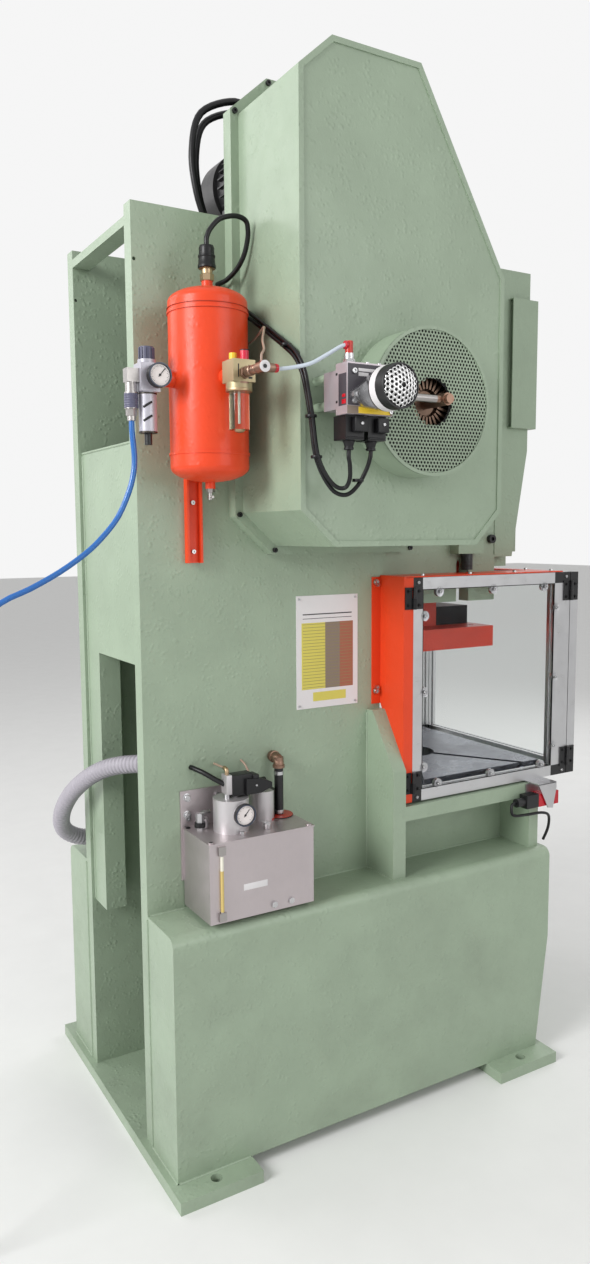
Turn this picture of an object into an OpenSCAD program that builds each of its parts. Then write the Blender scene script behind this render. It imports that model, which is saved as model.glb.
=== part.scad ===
// Gap-frame eccentric press: welded frame, side flywheel, geared crankshaft, guarded tool space.
// Millimetres, +Z up, operator's side at -Y. The origin is the centre of the four anchor holes.

/* [Frame] */
// Width across the outer faces of the side plates
frame_w = 454; // [440:2:500]
// Thickness of the side plates and gussets
plate_t = 40; // [34:1:42]
// Height of the side plates above the floor
frame_h = 2216; // [2210:5:2300]
// Rear edge of the side plates, behind the origin
rear_y = 558; // [545:1:570]
// Front edge of the head, ahead of the origin
head_y = 504; // [500:1:510]
// Front edge of the base, ahead of the origin
base_y = 593; // [588:1:600]
// Rear wall of the tool gap, ahead of the origin
gap_y = 107; // [100:1:112]
// Height of the head's underside
gap_top = 1308; // [1300:1:1320]
// Corner radius of the tool gap
gap_r = 60; // [40:5:80]
// Height of the bed plate's underside
bed_under = 757; // [750:1:765]
// Height up to which the base front leans
taper_z = 350; // [300:10:400]
// How far the base front leans back at the floor
taper_y = 40; // [30:1:46]

/* [Base] */
// Thickness of the foot plates
foot_t = 30; // [25:1:35]
// Width of the foot plates
foot_w = 870; // [860:5:900]
// Depth of each foot plate
foot_d = 208; // [200:2:220]
// Anchor hole spacing across the press
anchor_x = 800; // [790:2:806]
// Anchor hole spacing from front to rear
anchor_y = 945; // [940:1:950]
// Radius of the anchor holes
anchor_r = 14; // [10:1:16]
// How far each base box stands out from its side plate
box_out = 150; // [140:2:160]
// Height of the base boxes' top
box_top = 608; // [600:1:615]
// Wall of the base boxes
box_wall = 6; // [4:1:8]
// Bend radius of the base boxes' top edge
box_r = 25; // [15:1:30]

/* [Table] */
// Thickness of the bed plate
bed_t = 38; // [34:1:40]
// Width of the bed plate
bed_w = 688; // [680:2:692]
// Thickness of the bolster plate
bolster_t = 43; // [40:1:48]
// How far the bolster plate stands in from the bed plate's edge
bolster_in = 64; // [60:1:90]
// Depth of the bolster plate
bolster_d = 500; // [460:10:510]
// Radius of the table hole
table_hole_r = 70; // [60:1:75]
// Width of the table slots' neck
slot_neck = 18; // [14:1:20]
// Width of the table slots' foot
slot_foot = 30; // [26:1:32]

/* [Ram] */
// Distance of the ram axis ahead of the origin
ram_y = 387; // [384:1:390]
// Length of the ram's travel
stroke = 80; // [60:2:84]
// Width of the guided ram block
ram_w = 310; // [300:1:312]
// Depth of the guided ram block
ram_d = 356; // [350:1:358]
// Height of the guided ram block
ram_h = 350; // [340:5:360]
// Underside of the guided ram block at the top of the stroke
ram_z = 1350; // [1345:1:1355]
// Height of the flange's underside at the top of the stroke
flange_z = 1170; // [1165:1:1180]
// Thickness of the ram flange
flange_t = 59; // [50:1:65]
// Width of the ram flange
flange_w = 380; // [360:5:400]
// Depth of the ram flange
flange_d = 300; // [280:5:310]
// Radius of the tool shank bore
shank_r = 25; // [20:1:30]
// Running gap between the ram and its gibs
gib_gap = 0.3; // [0.2:0.1:0.5]

/* [Drive] */
// Height of the flywheel shaft
shaft_z = 1778; // [1770:1:1785]
// Distance of the flywheel shaft behind the origin
shaft_y = 23; // [20:1:26]
// Radius of the drive shaft
shaft_r = 40; // [36:1:42]
// Radius of the crankshaft's journals
journal_r = 60; // [56:1:62]
// Radius of the eccentric
eccentric_r = 105; // [103:1:108]
// Running clearance of the shafts in their bushes
run_gap = 0.05; // [0.02:0.01:0.08]
// Gear module
gear_m = 8; // [8:0.1:8.2]
// Teeth of the pinion
pinion_z = 26; // [25:1:26]
// Teeth of the bull gear
bull_z = 80; // [80:1:81]
// Face width of the gears
gear_w = 70; // [60:2:74]
// Outer radius of the flywheel
flywheel_r = 245; // [235:1:250]
// Width of the flywheel's rim
flywheel_w = 110; // [104:2:114]
// Number of belts
belts = 4; // [3:1:4]
// Outer radius of the motor pulley
pulley_r = 72; // [66:1:78]
// Height of the motor axis
motor_z = 2390; // [2386:1:2394]
// Distance of the motor axis behind the origin
motor_y = 117; // [110:1:122]
// Radius of the motor's body
motor_r = 92; // [85:1:96]

/* [Belt guard] */
// Distance of the guard's outer face from the left side plate
guard_out = 297; // [290:1:304]
// Depth of the frame that carries the guard
guard_frame_out = 35; // [30:1:40]
// Sheet thickness of the guard
guard_wall = 3; // [2:0.5:4]
// Width of the raised border on the guard's face
guard_border = 12; // [10:1:15]
// How far the carrying frame stands proud of the guard
guard_step = 20; // [15:1:22]
// Radius of the perforated cap
cap_r = 157; // [150:1:160]
// How far the perforated cap stands out
cap_out = 76; // [70:1:80]
// Radius of the cap's centre opening
cap_hole_r = 54; // [45:1:58]
// Spacing of the cap's holes
cap_pitch = 12; // [12:0.5:16]
// Diameter of the cap's holes
cap_hole_d = 7.5; // [5:0.5:8]

/* [Tool guards] */
// How far the side guards stand in from the bed plate's edge
door_in = 13; // [8:1:16]
// Size of the guard doors' profile
profile = 30; // [28:1:30]
// Length of the side doors
door_l = 530; // [525:1:535]
// Height of the guards' lower edge
door_z = 800; // [799:1:803]
// Height of the guards' upper edge
door_top = 1384; // [1380:1:1390]
// Thickness of the clear panes
pane_t = 5; // [4:0.5:6]
// Sheet thickness of the fixed guard panels
panel_t = 3; // [2:0.5:4]

/* [Air] */
// Radius of the air tank
tank_r = 88; // [84:1:94]
// Height of the air tank's lower end
tank_z = 1611; // [1606:1:1616]
// Length of the air tank between its ends
tank_l = 411; // [405:1:416]
// Distance of the tank axis behind the origin
tank_y = 428; // [424:1:432]
// Space between the tank and the side plate
tank_gap = 18; // [16:1:20]
// Diameter of the air hose
hose_d = 12; // [12:1:12]
// Radius of the pressure gauges
gauge_r = 25; // [22:1:27]

/* [Oil unit] */
// Depth of the oil tank, out from the side plate
oil_out = 144; // [138:1:146]
// Length of the oil tank
oil_l = 273; // [265:1:280]
// Height of the oil tank
oil_h = 188; // [180:1:190]
// Rear end of the oil tank, behind the origin
oil_y = 465; // [460:1:468]
// Height of the oil tank's underside
oil_z = 620; // [618:1:624]

/* [Control cabinet] */
// Width of the cabinet, along the press
cabinet_w = 400; // [380:5:400]
// Height of the cabinet
cabinet_h = 700; // [650:10:720]
// Depth of the cabinet
cabinet_d = 200; // [180:5:220]
// Diameter of the grey conduit
conduit_d = 46; // [40:1:48]

/* [Hidden] */

green = [0.47, 0.62, 0.47];
orange = [0.90, 0.24, 0.08];
steel = [0.62, 0.62, 0.64];
black = [0.06, 0.06, 0.07];
alloy = [0.78, 0.78, 0.80];
brassy = [0.75, 0.58, 0.30];
clear = [0.80, 0.86, 0.88, 0.35];

round_fn = 64;
seat = 0.3;
half_w = frame_w / 2;
bed_edge = bed_w / 2;
bolster_w = bed_w - 2 * bolster_in;
door_x = bed_edge - door_in;
in_x = half_w - plate_t;
bed_top = bed_under + bed_t;
table_z = bed_top + bolster_t;
slack = 1;

// The head's heights are written for a frame of this height, and move with its top
head_h = 2216;
lift = frame_h - head_h;
guard_top = door_top + lift;
module raised() {
  translate([0, 0, lift]) children();
}

// Crank geometry: the bull gear meshes with the pinion, which fixes the crankshaft's height
crank_e = stroke / 2;
gear_c = gear_m * (pinion_z + bull_z) / 2;
crank_z = shaft_z + sqrt(pow(gear_c, 2) - pow(shaft_y + ram_y, 2));
mesh_angle = atan2(shaft_z - crank_z, shaft_y + ram_y);
gear_x = half_w + 28;
bush_r = 80;
bush_lip = 8;
bush_flange_r = bush_r + 16;
rod_len = 300;
ball_r = 38;
ball_z = crank_z + crank_e - rod_len;
rod_ring_r = 140;
rod_ring_w = 84;

// Belt guard outline, in the plane of the side plate
guard_pts = [[311, 1547], [311, 2429], [231, 2501], [3, 2501], [-247, 2085], [-247, 1547],
  [-172, 1469], [224, 1469]];
guard_face_x = -half_w - guard_out;
guard_back_x = -half_w - guard_frame_out;
flywheel_x = guard_back_x - 28;
belt_w = 13;
belt_h = 9;
belt_pitch = 19;
groove_w = belt_w + 2 * seat;
groove_d = 12;
belt_first_x = flywheel_x - flywheel_w / 2 + belt_pitch * (belts - 1) / 2;

tank_x = -half_w - tank_gap - tank_r;
oil_x = -half_w - 4;
cabinet_x = half_w + 8;
cabinet_y = 0;
cabinet_z = box_top + 8;
cabinet_wall = 2;
cabinet_back_y = cabinet_y + cabinet_w;

door_rear_y = -gap_y - profile;
door_front_y = door_rear_y - door_l;
front_door_y = door_front_y - profile;
door_mid_x = door_x - profile / 2;

// Extrudes a (y, z) drawing along X
module along_x(x0, t) {
  translate([x0, 0, 0]) rotate([90, 0, 90]) linear_extrude(t) children();
}

// Extrudes an (x, z) drawing along Y, from y0 to y0 + t
module along_y(y0, t) {
  translate([0, y0 + t, 0]) rotate([90, 0, 0]) linear_extrude(t) children();
}

// Cuboid between two corners
module block(lo, hi) {
  translate(lo) cube(hi - lo);
}

// Round bars along the three axes
module bar_x(x0, x1, y, z, r) {
  translate([x0, y, z]) rotate([0, 90, 0]) cylinder(r = r, h = x1 - x0, $fn = round_fn);
}
module bar_y(y0, y1, x, z, r) {
  translate([x, y0, z]) rotate([-90, 0, 0]) cylinder(r = r, h = y1 - y0, $fn = round_fn);
}
module bar_z(z0, z1, x, y, r) {
  translate([x, y, z0]) cylinder(r = r, h = z1 - z0, $fn = round_fn);
}

// Tubes along X
module ring_x(x0, x1, y, z, ro, ri) {
  difference() {
    bar_x(x0, x1, y, z, ro);
    bar_x(x0 - slack, x1 + slack, y, z, ri);
  }
}

module both_sides() {
  children();
  mirror([1, 0, 0]) children();
}

// Rectangle with one rounded corner at its far upper end
module bent_corner(w, h, r) {
  square([w - r, h]);
  square([w, h - r]);
  translate([w - r, h - r]) circle(r, $fn = round_fn);
}

// Smooth route through hand-picked points, then a swept tube
function route_point(a, b, c, d, t) = 0.5 * (2 * b + (c - a) * t
  + (2 * a - 5 * b + 4 * c - d) * t * t + (3 * b - a - 3 * c + d) * t * t * t);
function smooth(p, n) = [for (i = [0:len(p) - 2], k = [0:n - 1])
  route_point(p[max(i - 1, 0)], p[i], p[i + 1], p[min(i + 2, len(p) - 1)], k / n),
  p[len(p) - 1]];
function unit(v) = v / norm(v);
function heading(p, i) = unit(p[min(i + 1, len(p) - 1)] - p[max(i - 1, 0)]);
function first_side(t) = unit(cross(t, abs(t.z) < 0.9 ? [0, 0, 1] : [1, 0, 0]));
function carried(s, t) = unit(s - (s * t) * t);
function sides(p, i = 0, s = undef) = i == len(p) ? []
  : let (t = heading(p, i), now = i == 0 ? first_side(t) : carried(s, t))
    concat([now], sides(p, i + 1, now));

module tube(route, d, n = 8) {
  s = sides(route);
  rings = [for (i = [0:len(route) - 1], k = [0:n - 1])
    let (t = heading(route, i), a = 360 * k / n)
      route[i] + d / 2 * (cos(a) * s[i] + sin(a) * cross(t, s[i]))];
  walls = [for (i = [0:len(route) - 2], k = [0:n - 1])
    let (a = i * n + k, b = i * n + (k + 1) % n) [a, a + n, b + n, b]];
  caps = [[for (k = [0:n - 1]) k], [for (k = [n - 1:-1:0]) (len(route) - 1) * n + k]];
  polyhedron(points = rings, faces = concat(walls, caps), convexity = 10);
}

// Frame

edge_hole_in = 6;
edge_hole_z = 2094;
edge_hole_r = 4;
module side_outline() {
  difference() {
    polygon([[rear_y, foot_t], [rear_y, frame_h], [-head_y, frame_h], [-head_y, bed_under],
      [-base_y, bed_under], [-base_y, taper_z], [taper_y - base_y, foot_t]]);
    translate([-head_y - slack, bed_under])
      square([head_y - gap_y + slack, gap_top + lift - gap_r - bed_under]);
    translate([-head_y - slack, bed_under])
      square([head_y - gap_y - gap_r + slack, gap_top + lift - bed_under]);
    translate([0, lift]) {
      translate([-gap_y - gap_r, gap_top - gap_r]) circle(gap_r, $fn = round_fn);
      knockout_slot();
      translate([-ram_y, crank_z]) circle(bush_r, $fn = round_fn);
      translate([shaft_y, shaft_z]) circle(bush_r, $fn = round_fn);
      translate([rear_y - edge_hole_in, edge_hole_z]) circle(edge_hole_r, $fn = 24);
    }
  }
}

slot_w = 44;
slot_h = 100;
module knockout_slot() {
  translate([-ram_y - slot_w / 2, gap_top - slack]) square([slot_w, slot_h + slack]);
  translate([-ram_y, gap_top + slot_h]) circle(slot_w / 2, $fn = round_fn);
}

module left_side_plate() {
  color(green) along_x(-half_w, plate_t) side_outline();
}

module right_side_plate() {
  color(green) along_x(in_x, plate_t) side_outline();
}

cross_t = 55;
cross_top = 1707;
cross_slot_top = 1195;
cross_slot_x = 97;
cross_foot = 505;
cheek_y = 622;
cheek_foot_y = 570;
cheek_foot = 1429;
cheek_knee = 1728;
head_plate_t = 20;
tie_t = 20;
tie_drop = 43;
tie_d = 45;
module cross_plates() {
  color(green) {
    along_y(rear_y - 10 - cross_t, cross_t)
      polygon([[-in_x, cross_slot_top], [-in_x, cross_top + lift], [in_x, cross_top + lift],
        [in_x, cross_foot], [cross_slot_x, cross_foot], [cross_slot_x, cross_slot_top]]);
    block([-in_x, rear_y - tie_d, frame_h - tie_drop], [in_x, rear_y, frame_h - tie_drop + tie_t]);
    block([-in_x, -gap_y, bed_under], [in_x, 30 - gap_y, gap_top + lift + 92]);
    block([-in_x, taper_y - base_y, foot_t], [in_x, taper_y - base_y + 20, bed_under]);
    block([-in_x, -cheek_y, cheek_foot + lift + 12], [in_x, head_plate_t - cheek_y, frame_h]);
    block([-in_x, head_plate_t - cheek_y, frame_h - head_plate_t], [in_x, 250, frame_h]);
  }
}

module foot_plate(y) {
  difference() {
    block([-foot_w / 2, y - foot_d / 2, 0], [foot_w / 2, y + foot_d / 2, foot_t]);
    for (x = [-anchor_x / 2, anchor_x / 2])
      bar_z(-slack, foot_t + slack, x, y, anchor_r);
  }
}

module foot_plates() {
  color(green) {
    foot_plate(anchor_y / 2);
    foot_plate(-anchor_y / 2);
  }
}

module box_side_outline(wall) {
  polygon([[rear_y - wall, foot_t + wall], [rear_y - wall, box_top], [wall - base_y, box_top],
    [wall - base_y, taper_z], [wall + taper_y - base_y, foot_t + wall]]);
}

module base_box() {
  difference() {
    intersection() {
      along_y(-base_y - slack, rear_y + base_y + 2 * slack)
        translate([half_w, foot_t]) bent_corner(box_out, box_top - foot_t, box_r);
      along_x(half_w, box_out) box_side_outline(0);
    }
    intersection() {
      along_y(-base_y - slack, rear_y + base_y + 2 * slack)
        translate([half_w - slack, foot_t + box_wall])
          bent_corner(box_out - box_wall + slack, box_top - foot_t - 2 * box_wall, box_r - box_wall);
      along_x(half_w - slack, box_out) box_side_outline(box_wall);
    }
  }
}

module base_boxes() {
  color(green) both_sides() base_box();
}

// Table

gusset_x = bed_w / 2;
gusset_top = 1037;
gusset_knee = 891;
gusset_ledge = 24;
module gusset(y0, y1, outline) {
  along_y(y0, y1 - y0) polygon(outline);
}

module bed_plate() {
  rear = [[half_w, box_top], [gusset_x, box_top], [gusset_x, gusset_knee],
    [half_w + gusset_ledge, gusset_top], [half_w, gusset_top]];
  front = [[half_w, box_top], [gusset_x, box_top], [gusset_x, bed_under], [half_w, bed_under]];
  color(green) {
    difference() {
      block([-bed_w / 2, 16 - base_y, bed_under], [bed_w / 2, -gap_y, bed_top]);
      bar_z(bed_under - slack, bed_top + slack, 0, -ram_y, table_hole_r + 10);
    }
    both_sides() {
      gusset(-gap_y, plate_t - gap_y, rear);
      gusset(16 - base_y, 50 - base_y, front);
    }
  }
}

slot_angle = 33;
slot_neck_h = 12;
slot_foot_h = 12;
module table_slot(angle) {
  translate([0, -ram_y, table_z]) rotate([0, 0, angle]) {
    block([0, -slot_neck / 2, -slot_neck_h - slack], [bolster_w, slot_neck / 2, slack]);
    block([0, -slot_foot / 2, -slot_neck_h - slot_foot_h], [bolster_w, slot_foot / 2, -slot_neck_h]);
  }
}

module bolster_plate() {
  color(steel) difference() {
    block([-bolster_w / 2, -ram_y - bolster_d / 2, bed_top],
      [bolster_w / 2, bolster_d / 2 - ram_y, table_z]);
    bar_z(bed_top - slack, table_z + slack, 0, -ram_y, table_hole_r);
    for (a = [slot_angle, 180 - slot_angle, 180 + slot_angle, -slot_angle]) table_slot(a);
  }
}

// Head

gib_z = 1400;
gib_h = 340;
gib_l = 80;
gib_lip = 20;
module gib(side) {
  y0 = ram_d / 2 + gib_gap;
  translate([0, -ram_y, 0]) scale([1, side, 1]) {
    block([ram_w / 2 + gib_gap, y0 - gib_l, gib_z], [in_x, y0 + gib_lip, gib_z + gib_h]);
    block([ram_w / 2 - gib_lip, y0, gib_z], [ram_w / 2 + gib_gap, y0 + gib_lip, gib_z + gib_h]);
  }
}

module ram_guides() {
  raised() {
    color(green) both_sides() along_x(in_x, plate_t)
      polygon([[-head_y - seat, head_h], [-cheek_y, head_h], [-cheek_y, cheek_knee],
        [-cheek_foot_y, cheek_foot], [-head_y - seat, cheek_foot]]);
    color(steel) both_sides() {
      gib(1);
      gib(-1);
    }
  }
}

hood_x = half_w + 16;
hood_y = cheek_y + 16;
hood_back_y = 545;
hood_z = 1788;
hood_h = 352;
hood_wall = 3;
module head_cover() {
  raised() {
    color(green) difference() {
      block([-hood_x, -hood_y, hood_z], [in_x, -hood_back_y, hood_z + hood_h]);
      block([hood_wall - hood_x, hood_wall - hood_y, hood_z + hood_wall],
        [in_x - hood_wall, slack - hood_back_y, hood_z + hood_h - hood_wall]);
      block([-half_w, -cheek_y, hood_z - slack],
        [in_x + slack, slack - hood_back_y, hood_z + hood_h + slack]);
    }
  }
}

stop_z = 1440;
stop_h = 35;
stop_w = 90;
stop_out = 36;
stop_screw_r = 16;
stop_screw_z = 1396;
module knockout_stops() {
  raised() {
    both_sides() {
      color(green) difference() {
        block([half_w, -ram_y - stop_w / 2, stop_z],
          [half_w + stop_out, stop_w / 2 - ram_y, stop_z + stop_h]);
        bar_z(stop_z - slack, stop_z + stop_h + slack, half_w + stop_out / 2, -ram_y, 9);
      }
      color(black) {
        bar_z(stop_screw_z, stop_z, half_w + stop_out / 2, -ram_y, stop_screw_r);
        bar_z(stop_z, stop_z + stop_h + 14, half_w + stop_out / 2, -ram_y, 9);
        translate([half_w + stop_out / 2, -ram_y, stop_z + stop_h + 14]) cylinder(r = 14, h = 12, $fn = 6);
      }
    }
  }
}

// Belt guard

module guard_outline() {
  polygon(guard_pts);
}

// Offset of the guard outline with square corners, written from its own points
function edge_normal(a, b) = let (d = unit(b - a)) [-d.y, d.x];
function grown(p, g) = [for (i = [0:len(p) - 1])
  let (n0 = edge_normal(p[(i + len(p) - 1) % len(p)], p[i]),
    n1 = edge_normal(p[i], p[(i + 1) % len(p)]))
      p[i] - g * (n0 + n1) / (1 + n0 * n1)];

module belt_guard() {
  raised() {
    face_pts = grown(guard_pts, -guard_border);
    inner_pts = grown(guard_pts, -guard_wall);
    color(green) difference() {
      along_x(guard_face_x, guard_out - guard_frame_out) guard_outline();
      along_x(guard_face_x + 2 * guard_wall, guard_out) polygon(inner_pts);
      along_x(guard_face_x - slack, guard_wall + slack) polygon(face_pts);
      bar_x(guard_face_x - slack, guard_face_x + 3 * guard_wall, shaft_y, shaft_z, cap_r - 12);
    }
  }
}

module belt_guard_frame() {
  raised() {
    outer = grown(guard_pts, guard_step);
    inner = grown(guard_pts, -2 * guard_border);
    color(green) difference() {
      along_x(guard_back_x, guard_frame_out) polygon(outer);
      along_x(guard_back_x - slack, guard_frame_out - 6 + slack) polygon(inner);
      bar_x(-half_w - guard_frame_out, -half_w + slack, shaft_y, shaft_z, 112);
      bar_x(-half_w - guard_frame_out, -half_w + slack, motor_y, motor_z, 45);
    }
  }
}

module cap_holes() {
  n = ceil(cap_r / cap_pitch) + 1;
  for (j = [-n:n], i = [-n:n])
    let (p = [cap_pitch * (i + (j % 2) / 2), cap_pitch * j * sin(60)])
      if (norm(p) < cap_r - cap_hole_d && norm(p) > cap_hole_r + cap_hole_d / 2 + 2)
        translate(p) circle(d = cap_hole_d, $fn = 16);
}

cap_face_x = guard_face_x - cap_out;
module guard_cap() {
  raised() {
    cap_base_x = guard_face_x + guard_wall;
    color(green) {
      along_x(cap_face_x, 2) translate([shaft_y, shaft_z]) difference() {
        circle(cap_r, $fn = 128);
        circle(cap_hole_r, $fn = round_fn);
        cap_holes();
      }
      ring_x(cap_face_x + 2, cap_base_x, shaft_y, shaft_z, cap_r, cap_r - 2);
    }
  }
}

// Drive

quill_r = 60;
quill_x = -435;
module shaft_bearings() {
  raised() {
    color(brassy) both_sides() {
      ring_x(in_x - 4, half_w, -ram_y, crank_z, bush_r, journal_r + run_gap);
      ring_x(half_w, half_w + bush_lip, -ram_y, crank_z, bush_flange_r, journal_r + run_gap);
    }
    color(steel) {
      ring_x(in_x - 4, half_w, shaft_y, shaft_z, bush_r, shaft_r + run_gap);
      ring_x(half_w, half_w + bush_lip, shaft_y, shaft_z, bush_flange_r, shaft_r + run_gap);
      difference() {
        union() {
          bar_x(-half_w, -in_x + 4, shaft_y, shaft_z, bush_r);
          bar_x(-half_w - bush_lip, -half_w, shaft_y, shaft_z, bush_flange_r);
          bar_x(quill_x, -half_w - bush_lip, shaft_y, shaft_z, quill_r);
        }
        bar_x(quill_x - slack, -in_x + 4 + slack, shaft_y, shaft_z, shaft_r + run_gap);
      }
    }
  }
}

// Outline around two circles, with straight tangents between them
module two_circle_outline(c1, r1, c2, r2) {
  d = norm(c2 - c1);
  dir = atan2(c2.y - c1.y, c2.x - c1.x);
  lean = acos((r1 - r2) / d);
  up = [cos(dir + lean), sin(dir + lean)];
  dn = [cos(dir - lean), sin(dir - lean)];
  translate(c1) circle(r1, $fn = 128);
  translate(c2) circle(r2, $fn = 128);
  polygon([c1 + r1 * up, c1 + r1 * dn, c2 + r2 * dn, c2 + r2 * up]);
}

crank_c = [-ram_y, crank_z];
shaft_c = [shaft_y, shaft_z];
motor_c = [motor_y, motor_z];
bull_r = gear_m * bull_z / 2;
pinion_r = gear_m * pinion_z / 2;
case_wall = 4;
case_out = gear_w + 70;
case_lip = 18;
case_bolt_r = bull_r + gear_m + 25;
module gear_case() {
  raised() {
    r1 = bull_r + gear_m + 16;
    r2 = pinion_r + gear_m + 16;
    color(green) difference() {
      union() {
        along_x(half_w, case_out) two_circle_outline(crank_c, r1, shaft_c, r2);
        along_x(half_w, 6) two_circle_outline(crank_c, r1 + case_lip, shaft_c, r2 + case_lip);
      }
      along_x(half_w + case_wall, case_out - 2 * case_wall)
        two_circle_outline(crank_c, r1 - case_wall, shaft_c, r2 - case_wall);
      for (c = [crank_c, shaft_c])
        bar_x(half_w - slack, half_w + case_wall + slack, c.x, c.y, bush_flange_r);
    }
  }
}

motor_x0 = -212;
motor_x1 = 60;
fan_x1 = 140;
mount_top = 2258;
module motor() {
  raised() {
    color(black) {
      bar_x(motor_x0, motor_x1, motor_y, motor_z, motor_r);
      for (a = [0:12:348])
        translate([motor_x0 + 20, motor_y, motor_z]) rotate([a, 0, 0])
          block([0, -1.5, motor_r - 2], [motor_x1 - motor_x0 - 40, 1.5, motor_r + 9]);
      difference() {
        bar_x(motor_x1, fan_x1, motor_y, motor_z, motor_r + 12);
        for (r = [30:16:80]) ring_x(fan_x1 - 3, fan_x1 + slack, motor_y, motor_z, r + 8, r);
      }
      block([-140, motor_y - 50, motor_z + motor_r - 4], [-30, motor_y + 50, motor_z + motor_r + 44]);
      for (s = [-1, 1])
        block([-170, motor_y + s * 75 - 22, mount_top], [20, motor_y + s * 75 + 22, mount_top + 60]);
    }
  }
}

module motor_mount() {
  raised() {
    color(green) {
      block([-200, motor_y - 125, mount_top - 20], [120, motor_y + 120, mount_top]);
      for (y = [motor_y - 115, motor_y + 85])
        block([-in_x, y, head_h], [in_x, y + 30, mount_top - 20]);
    }
  }
}

belt_face_r = flywheel_r - 1;
belt_motor_r = pulley_r - 1;
// Points of a loop round two circles
function loop_points(c1, r1, c2, r2) = let (
  dir = atan2(c2.y - c1.y, c2.x - c1.x), lean = acos((r1 - r2) / norm(c2 - c1)),
  near = [for (i = [0:40]) let (a = dir + lean + (360 - 2 * lean) * i / 40) c1 + r1 * [cos(a), sin(a)]],
  far = [for (i = [0:16]) let (a = dir - lean + 2 * lean * i / 16) c2 + r2 * [cos(a), sin(a)]])
    concat(near, far);

module belt_loop() {
  difference() {
    polygon(loop_points(shaft_c, belt_face_r, motor_c, belt_motor_r));
    polygon(loop_points(shaft_c, belt_face_r - belt_h, motor_c, belt_motor_r - belt_h));
  }
}

module v_belts() {
  raised() {
    color(black) for (i = [0:belts - 1])
      along_x(belt_first_x - i * belt_pitch - belt_w / 2, belt_w) belt_loop();
  }
}

// Grooved rim, as a (radius, distance) profile turned about the shaft
module grooves(r) {
  for (i = [0:belts - 1])
    translate([r - groove_d, belt_first_x - i * belt_pitch - groove_w / 2])
      square([groove_d + slack, groove_w]);
}

module turned(c) {
  translate([0, c.x, c.y]) rotate([0, 90, 0]) rotate_extrude($fn = 128) children();
}

module flywheel() {
  raised() {
    hub_r = 98;
    rim_t = 50;
    x0 = flywheel_x - flywheel_w;
    color([0.25, 0.22, 0.20]) difference() {
      turned(shaft_c) difference() {
        union() {
          translate([flywheel_r - rim_t, x0]) square([rim_t, flywheel_w]);
          translate([quill_r + run_gap, x0 - 10]) square([hub_r - quill_r - run_gap, flywheel_w + 10]);
          translate([hub_r - slack, x0 + 44]) square([flywheel_r - rim_t - hub_r + 2 * slack, 24]);
        }
        grooves(flywheel_r);
      }
      for (a = [0:60:300])
        translate([x0, shaft_y, shaft_z]) rotate([a, 0, 0])
          bar_x(0, flywheel_w, 0, (hub_r + flywheel_r - rim_t) / 2, 32);
    }
  }
}

module motor_pulley() {
  raised() {
    x0 = flywheel_x - flywheel_w;
    color(steel) {
      turned(motor_c) difference() {
        translate([14, x0 + 4]) square([pulley_r - 14, flywheel_w - 8]);
        grooves(pulley_r);
      }
      bar_x(x0 - 2, motor_x0 - 0.3, motor_y, motor_z, 14);
    }
  }
}

// Spur gear with straight-sided teeth on the involute's pressure line
module gear_shape(z, shift) {
  rp = gear_m * z / 2;
  half = 90 / z - 0.14 * 57.3 / z;
  lean = gear_m * tan(20) / rp * 57.3;
  pts = [for (i = [0:z - 1], k = [[-1, -1.2, -1.25], [-1, 0.9, 0.95], [1, 0.9, 0.95], [1, -1.2, -1.25]])
    let (a = 360 * (i + shift) / z + k[0] * (half - k[1] * lean), r = rp + gear_m * k[2])
      r * [cos(a), sin(a)]];
  polygon(pts);
}

clutch_r = 122;
clutch_x0 = -562;
clutch_x1 = -440;
clutch_fins = 24;
fin_h = 16;
module drive_shaft() {
  raised() {
    color(steel) bar_x(clutch_x1 - slack, gear_x + gear_w + 12, shaft_y, shaft_z, shaft_r);
    color([0.30, 0.26, 0.24]) {
      bar_x(clutch_x0, clutch_x1, shaft_y, shaft_z, clutch_r);
      for (i = [0:clutch_fins - 1])
        translate([clutch_x0 - fin_h, shaft_y, shaft_z]) rotate([360 * i / clutch_fins, 0, 0])
          block([0, -2.5, 30], [fin_h + slack, 2.5, clutch_r - 6]);
      bar_x(clutch_x0 - 8, clutch_x0, shaft_y, shaft_z, 26);
    }
    color(steel) along_x(gear_x, gear_w) translate(shaft_c)
      rotate(mesh_angle + 180) gear_shape(pinion_z, 0.5);
  }
}

module crankshaft() {
  raised() {
    end_x = half_w + bush_lip + 4;
    color(steel) {
      bar_x(-end_x, gear_x + gear_w + 10, -ram_y, crank_z, journal_r);
      bar_x(-rod_ring_w / 2 - 6, rod_ring_w / 2 + 6, -ram_y, crank_z + crank_e, eccentric_r);
    }
  }
}

module bull_gear() {
  raised() {
    color(steel) along_x(gear_x, gear_w) translate(crank_c) difference() {
      rotate(mesh_angle) gear_shape(bull_z, 0);
      circle(journal_r, $fn = round_fn);
      for (a = [0:60:300]) rotate(a) translate([bull_r * 0.56, 0]) circle(62, $fn = round_fn);
    }
  }
}

module conrod() {
  raised() {
    big = crank_z + crank_e;
    color(steel) {
      ring_x(-rod_ring_w / 2, rod_ring_w / 2, -ram_y, big, rod_ring_r, eccentric_r + run_gap);
      difference() {
        along_x(-26, 52) polygon([[-ram_y - 62, big - 122], [-ram_y + 62, big - 122],
          [-ram_y + 34, ball_z + 70], [-ram_y - 34, ball_z + 70]]);
        bar_x(-30, 30, -ram_y, big, eccentric_r + 20);
      }
      bar_z(ball_z, ball_z + 72, 0, -ram_y, 24);
      translate([0, -ram_y, ball_z]) sphere(ball_r, $fn = round_fn);
    }
  }
}

// Ram

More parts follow.
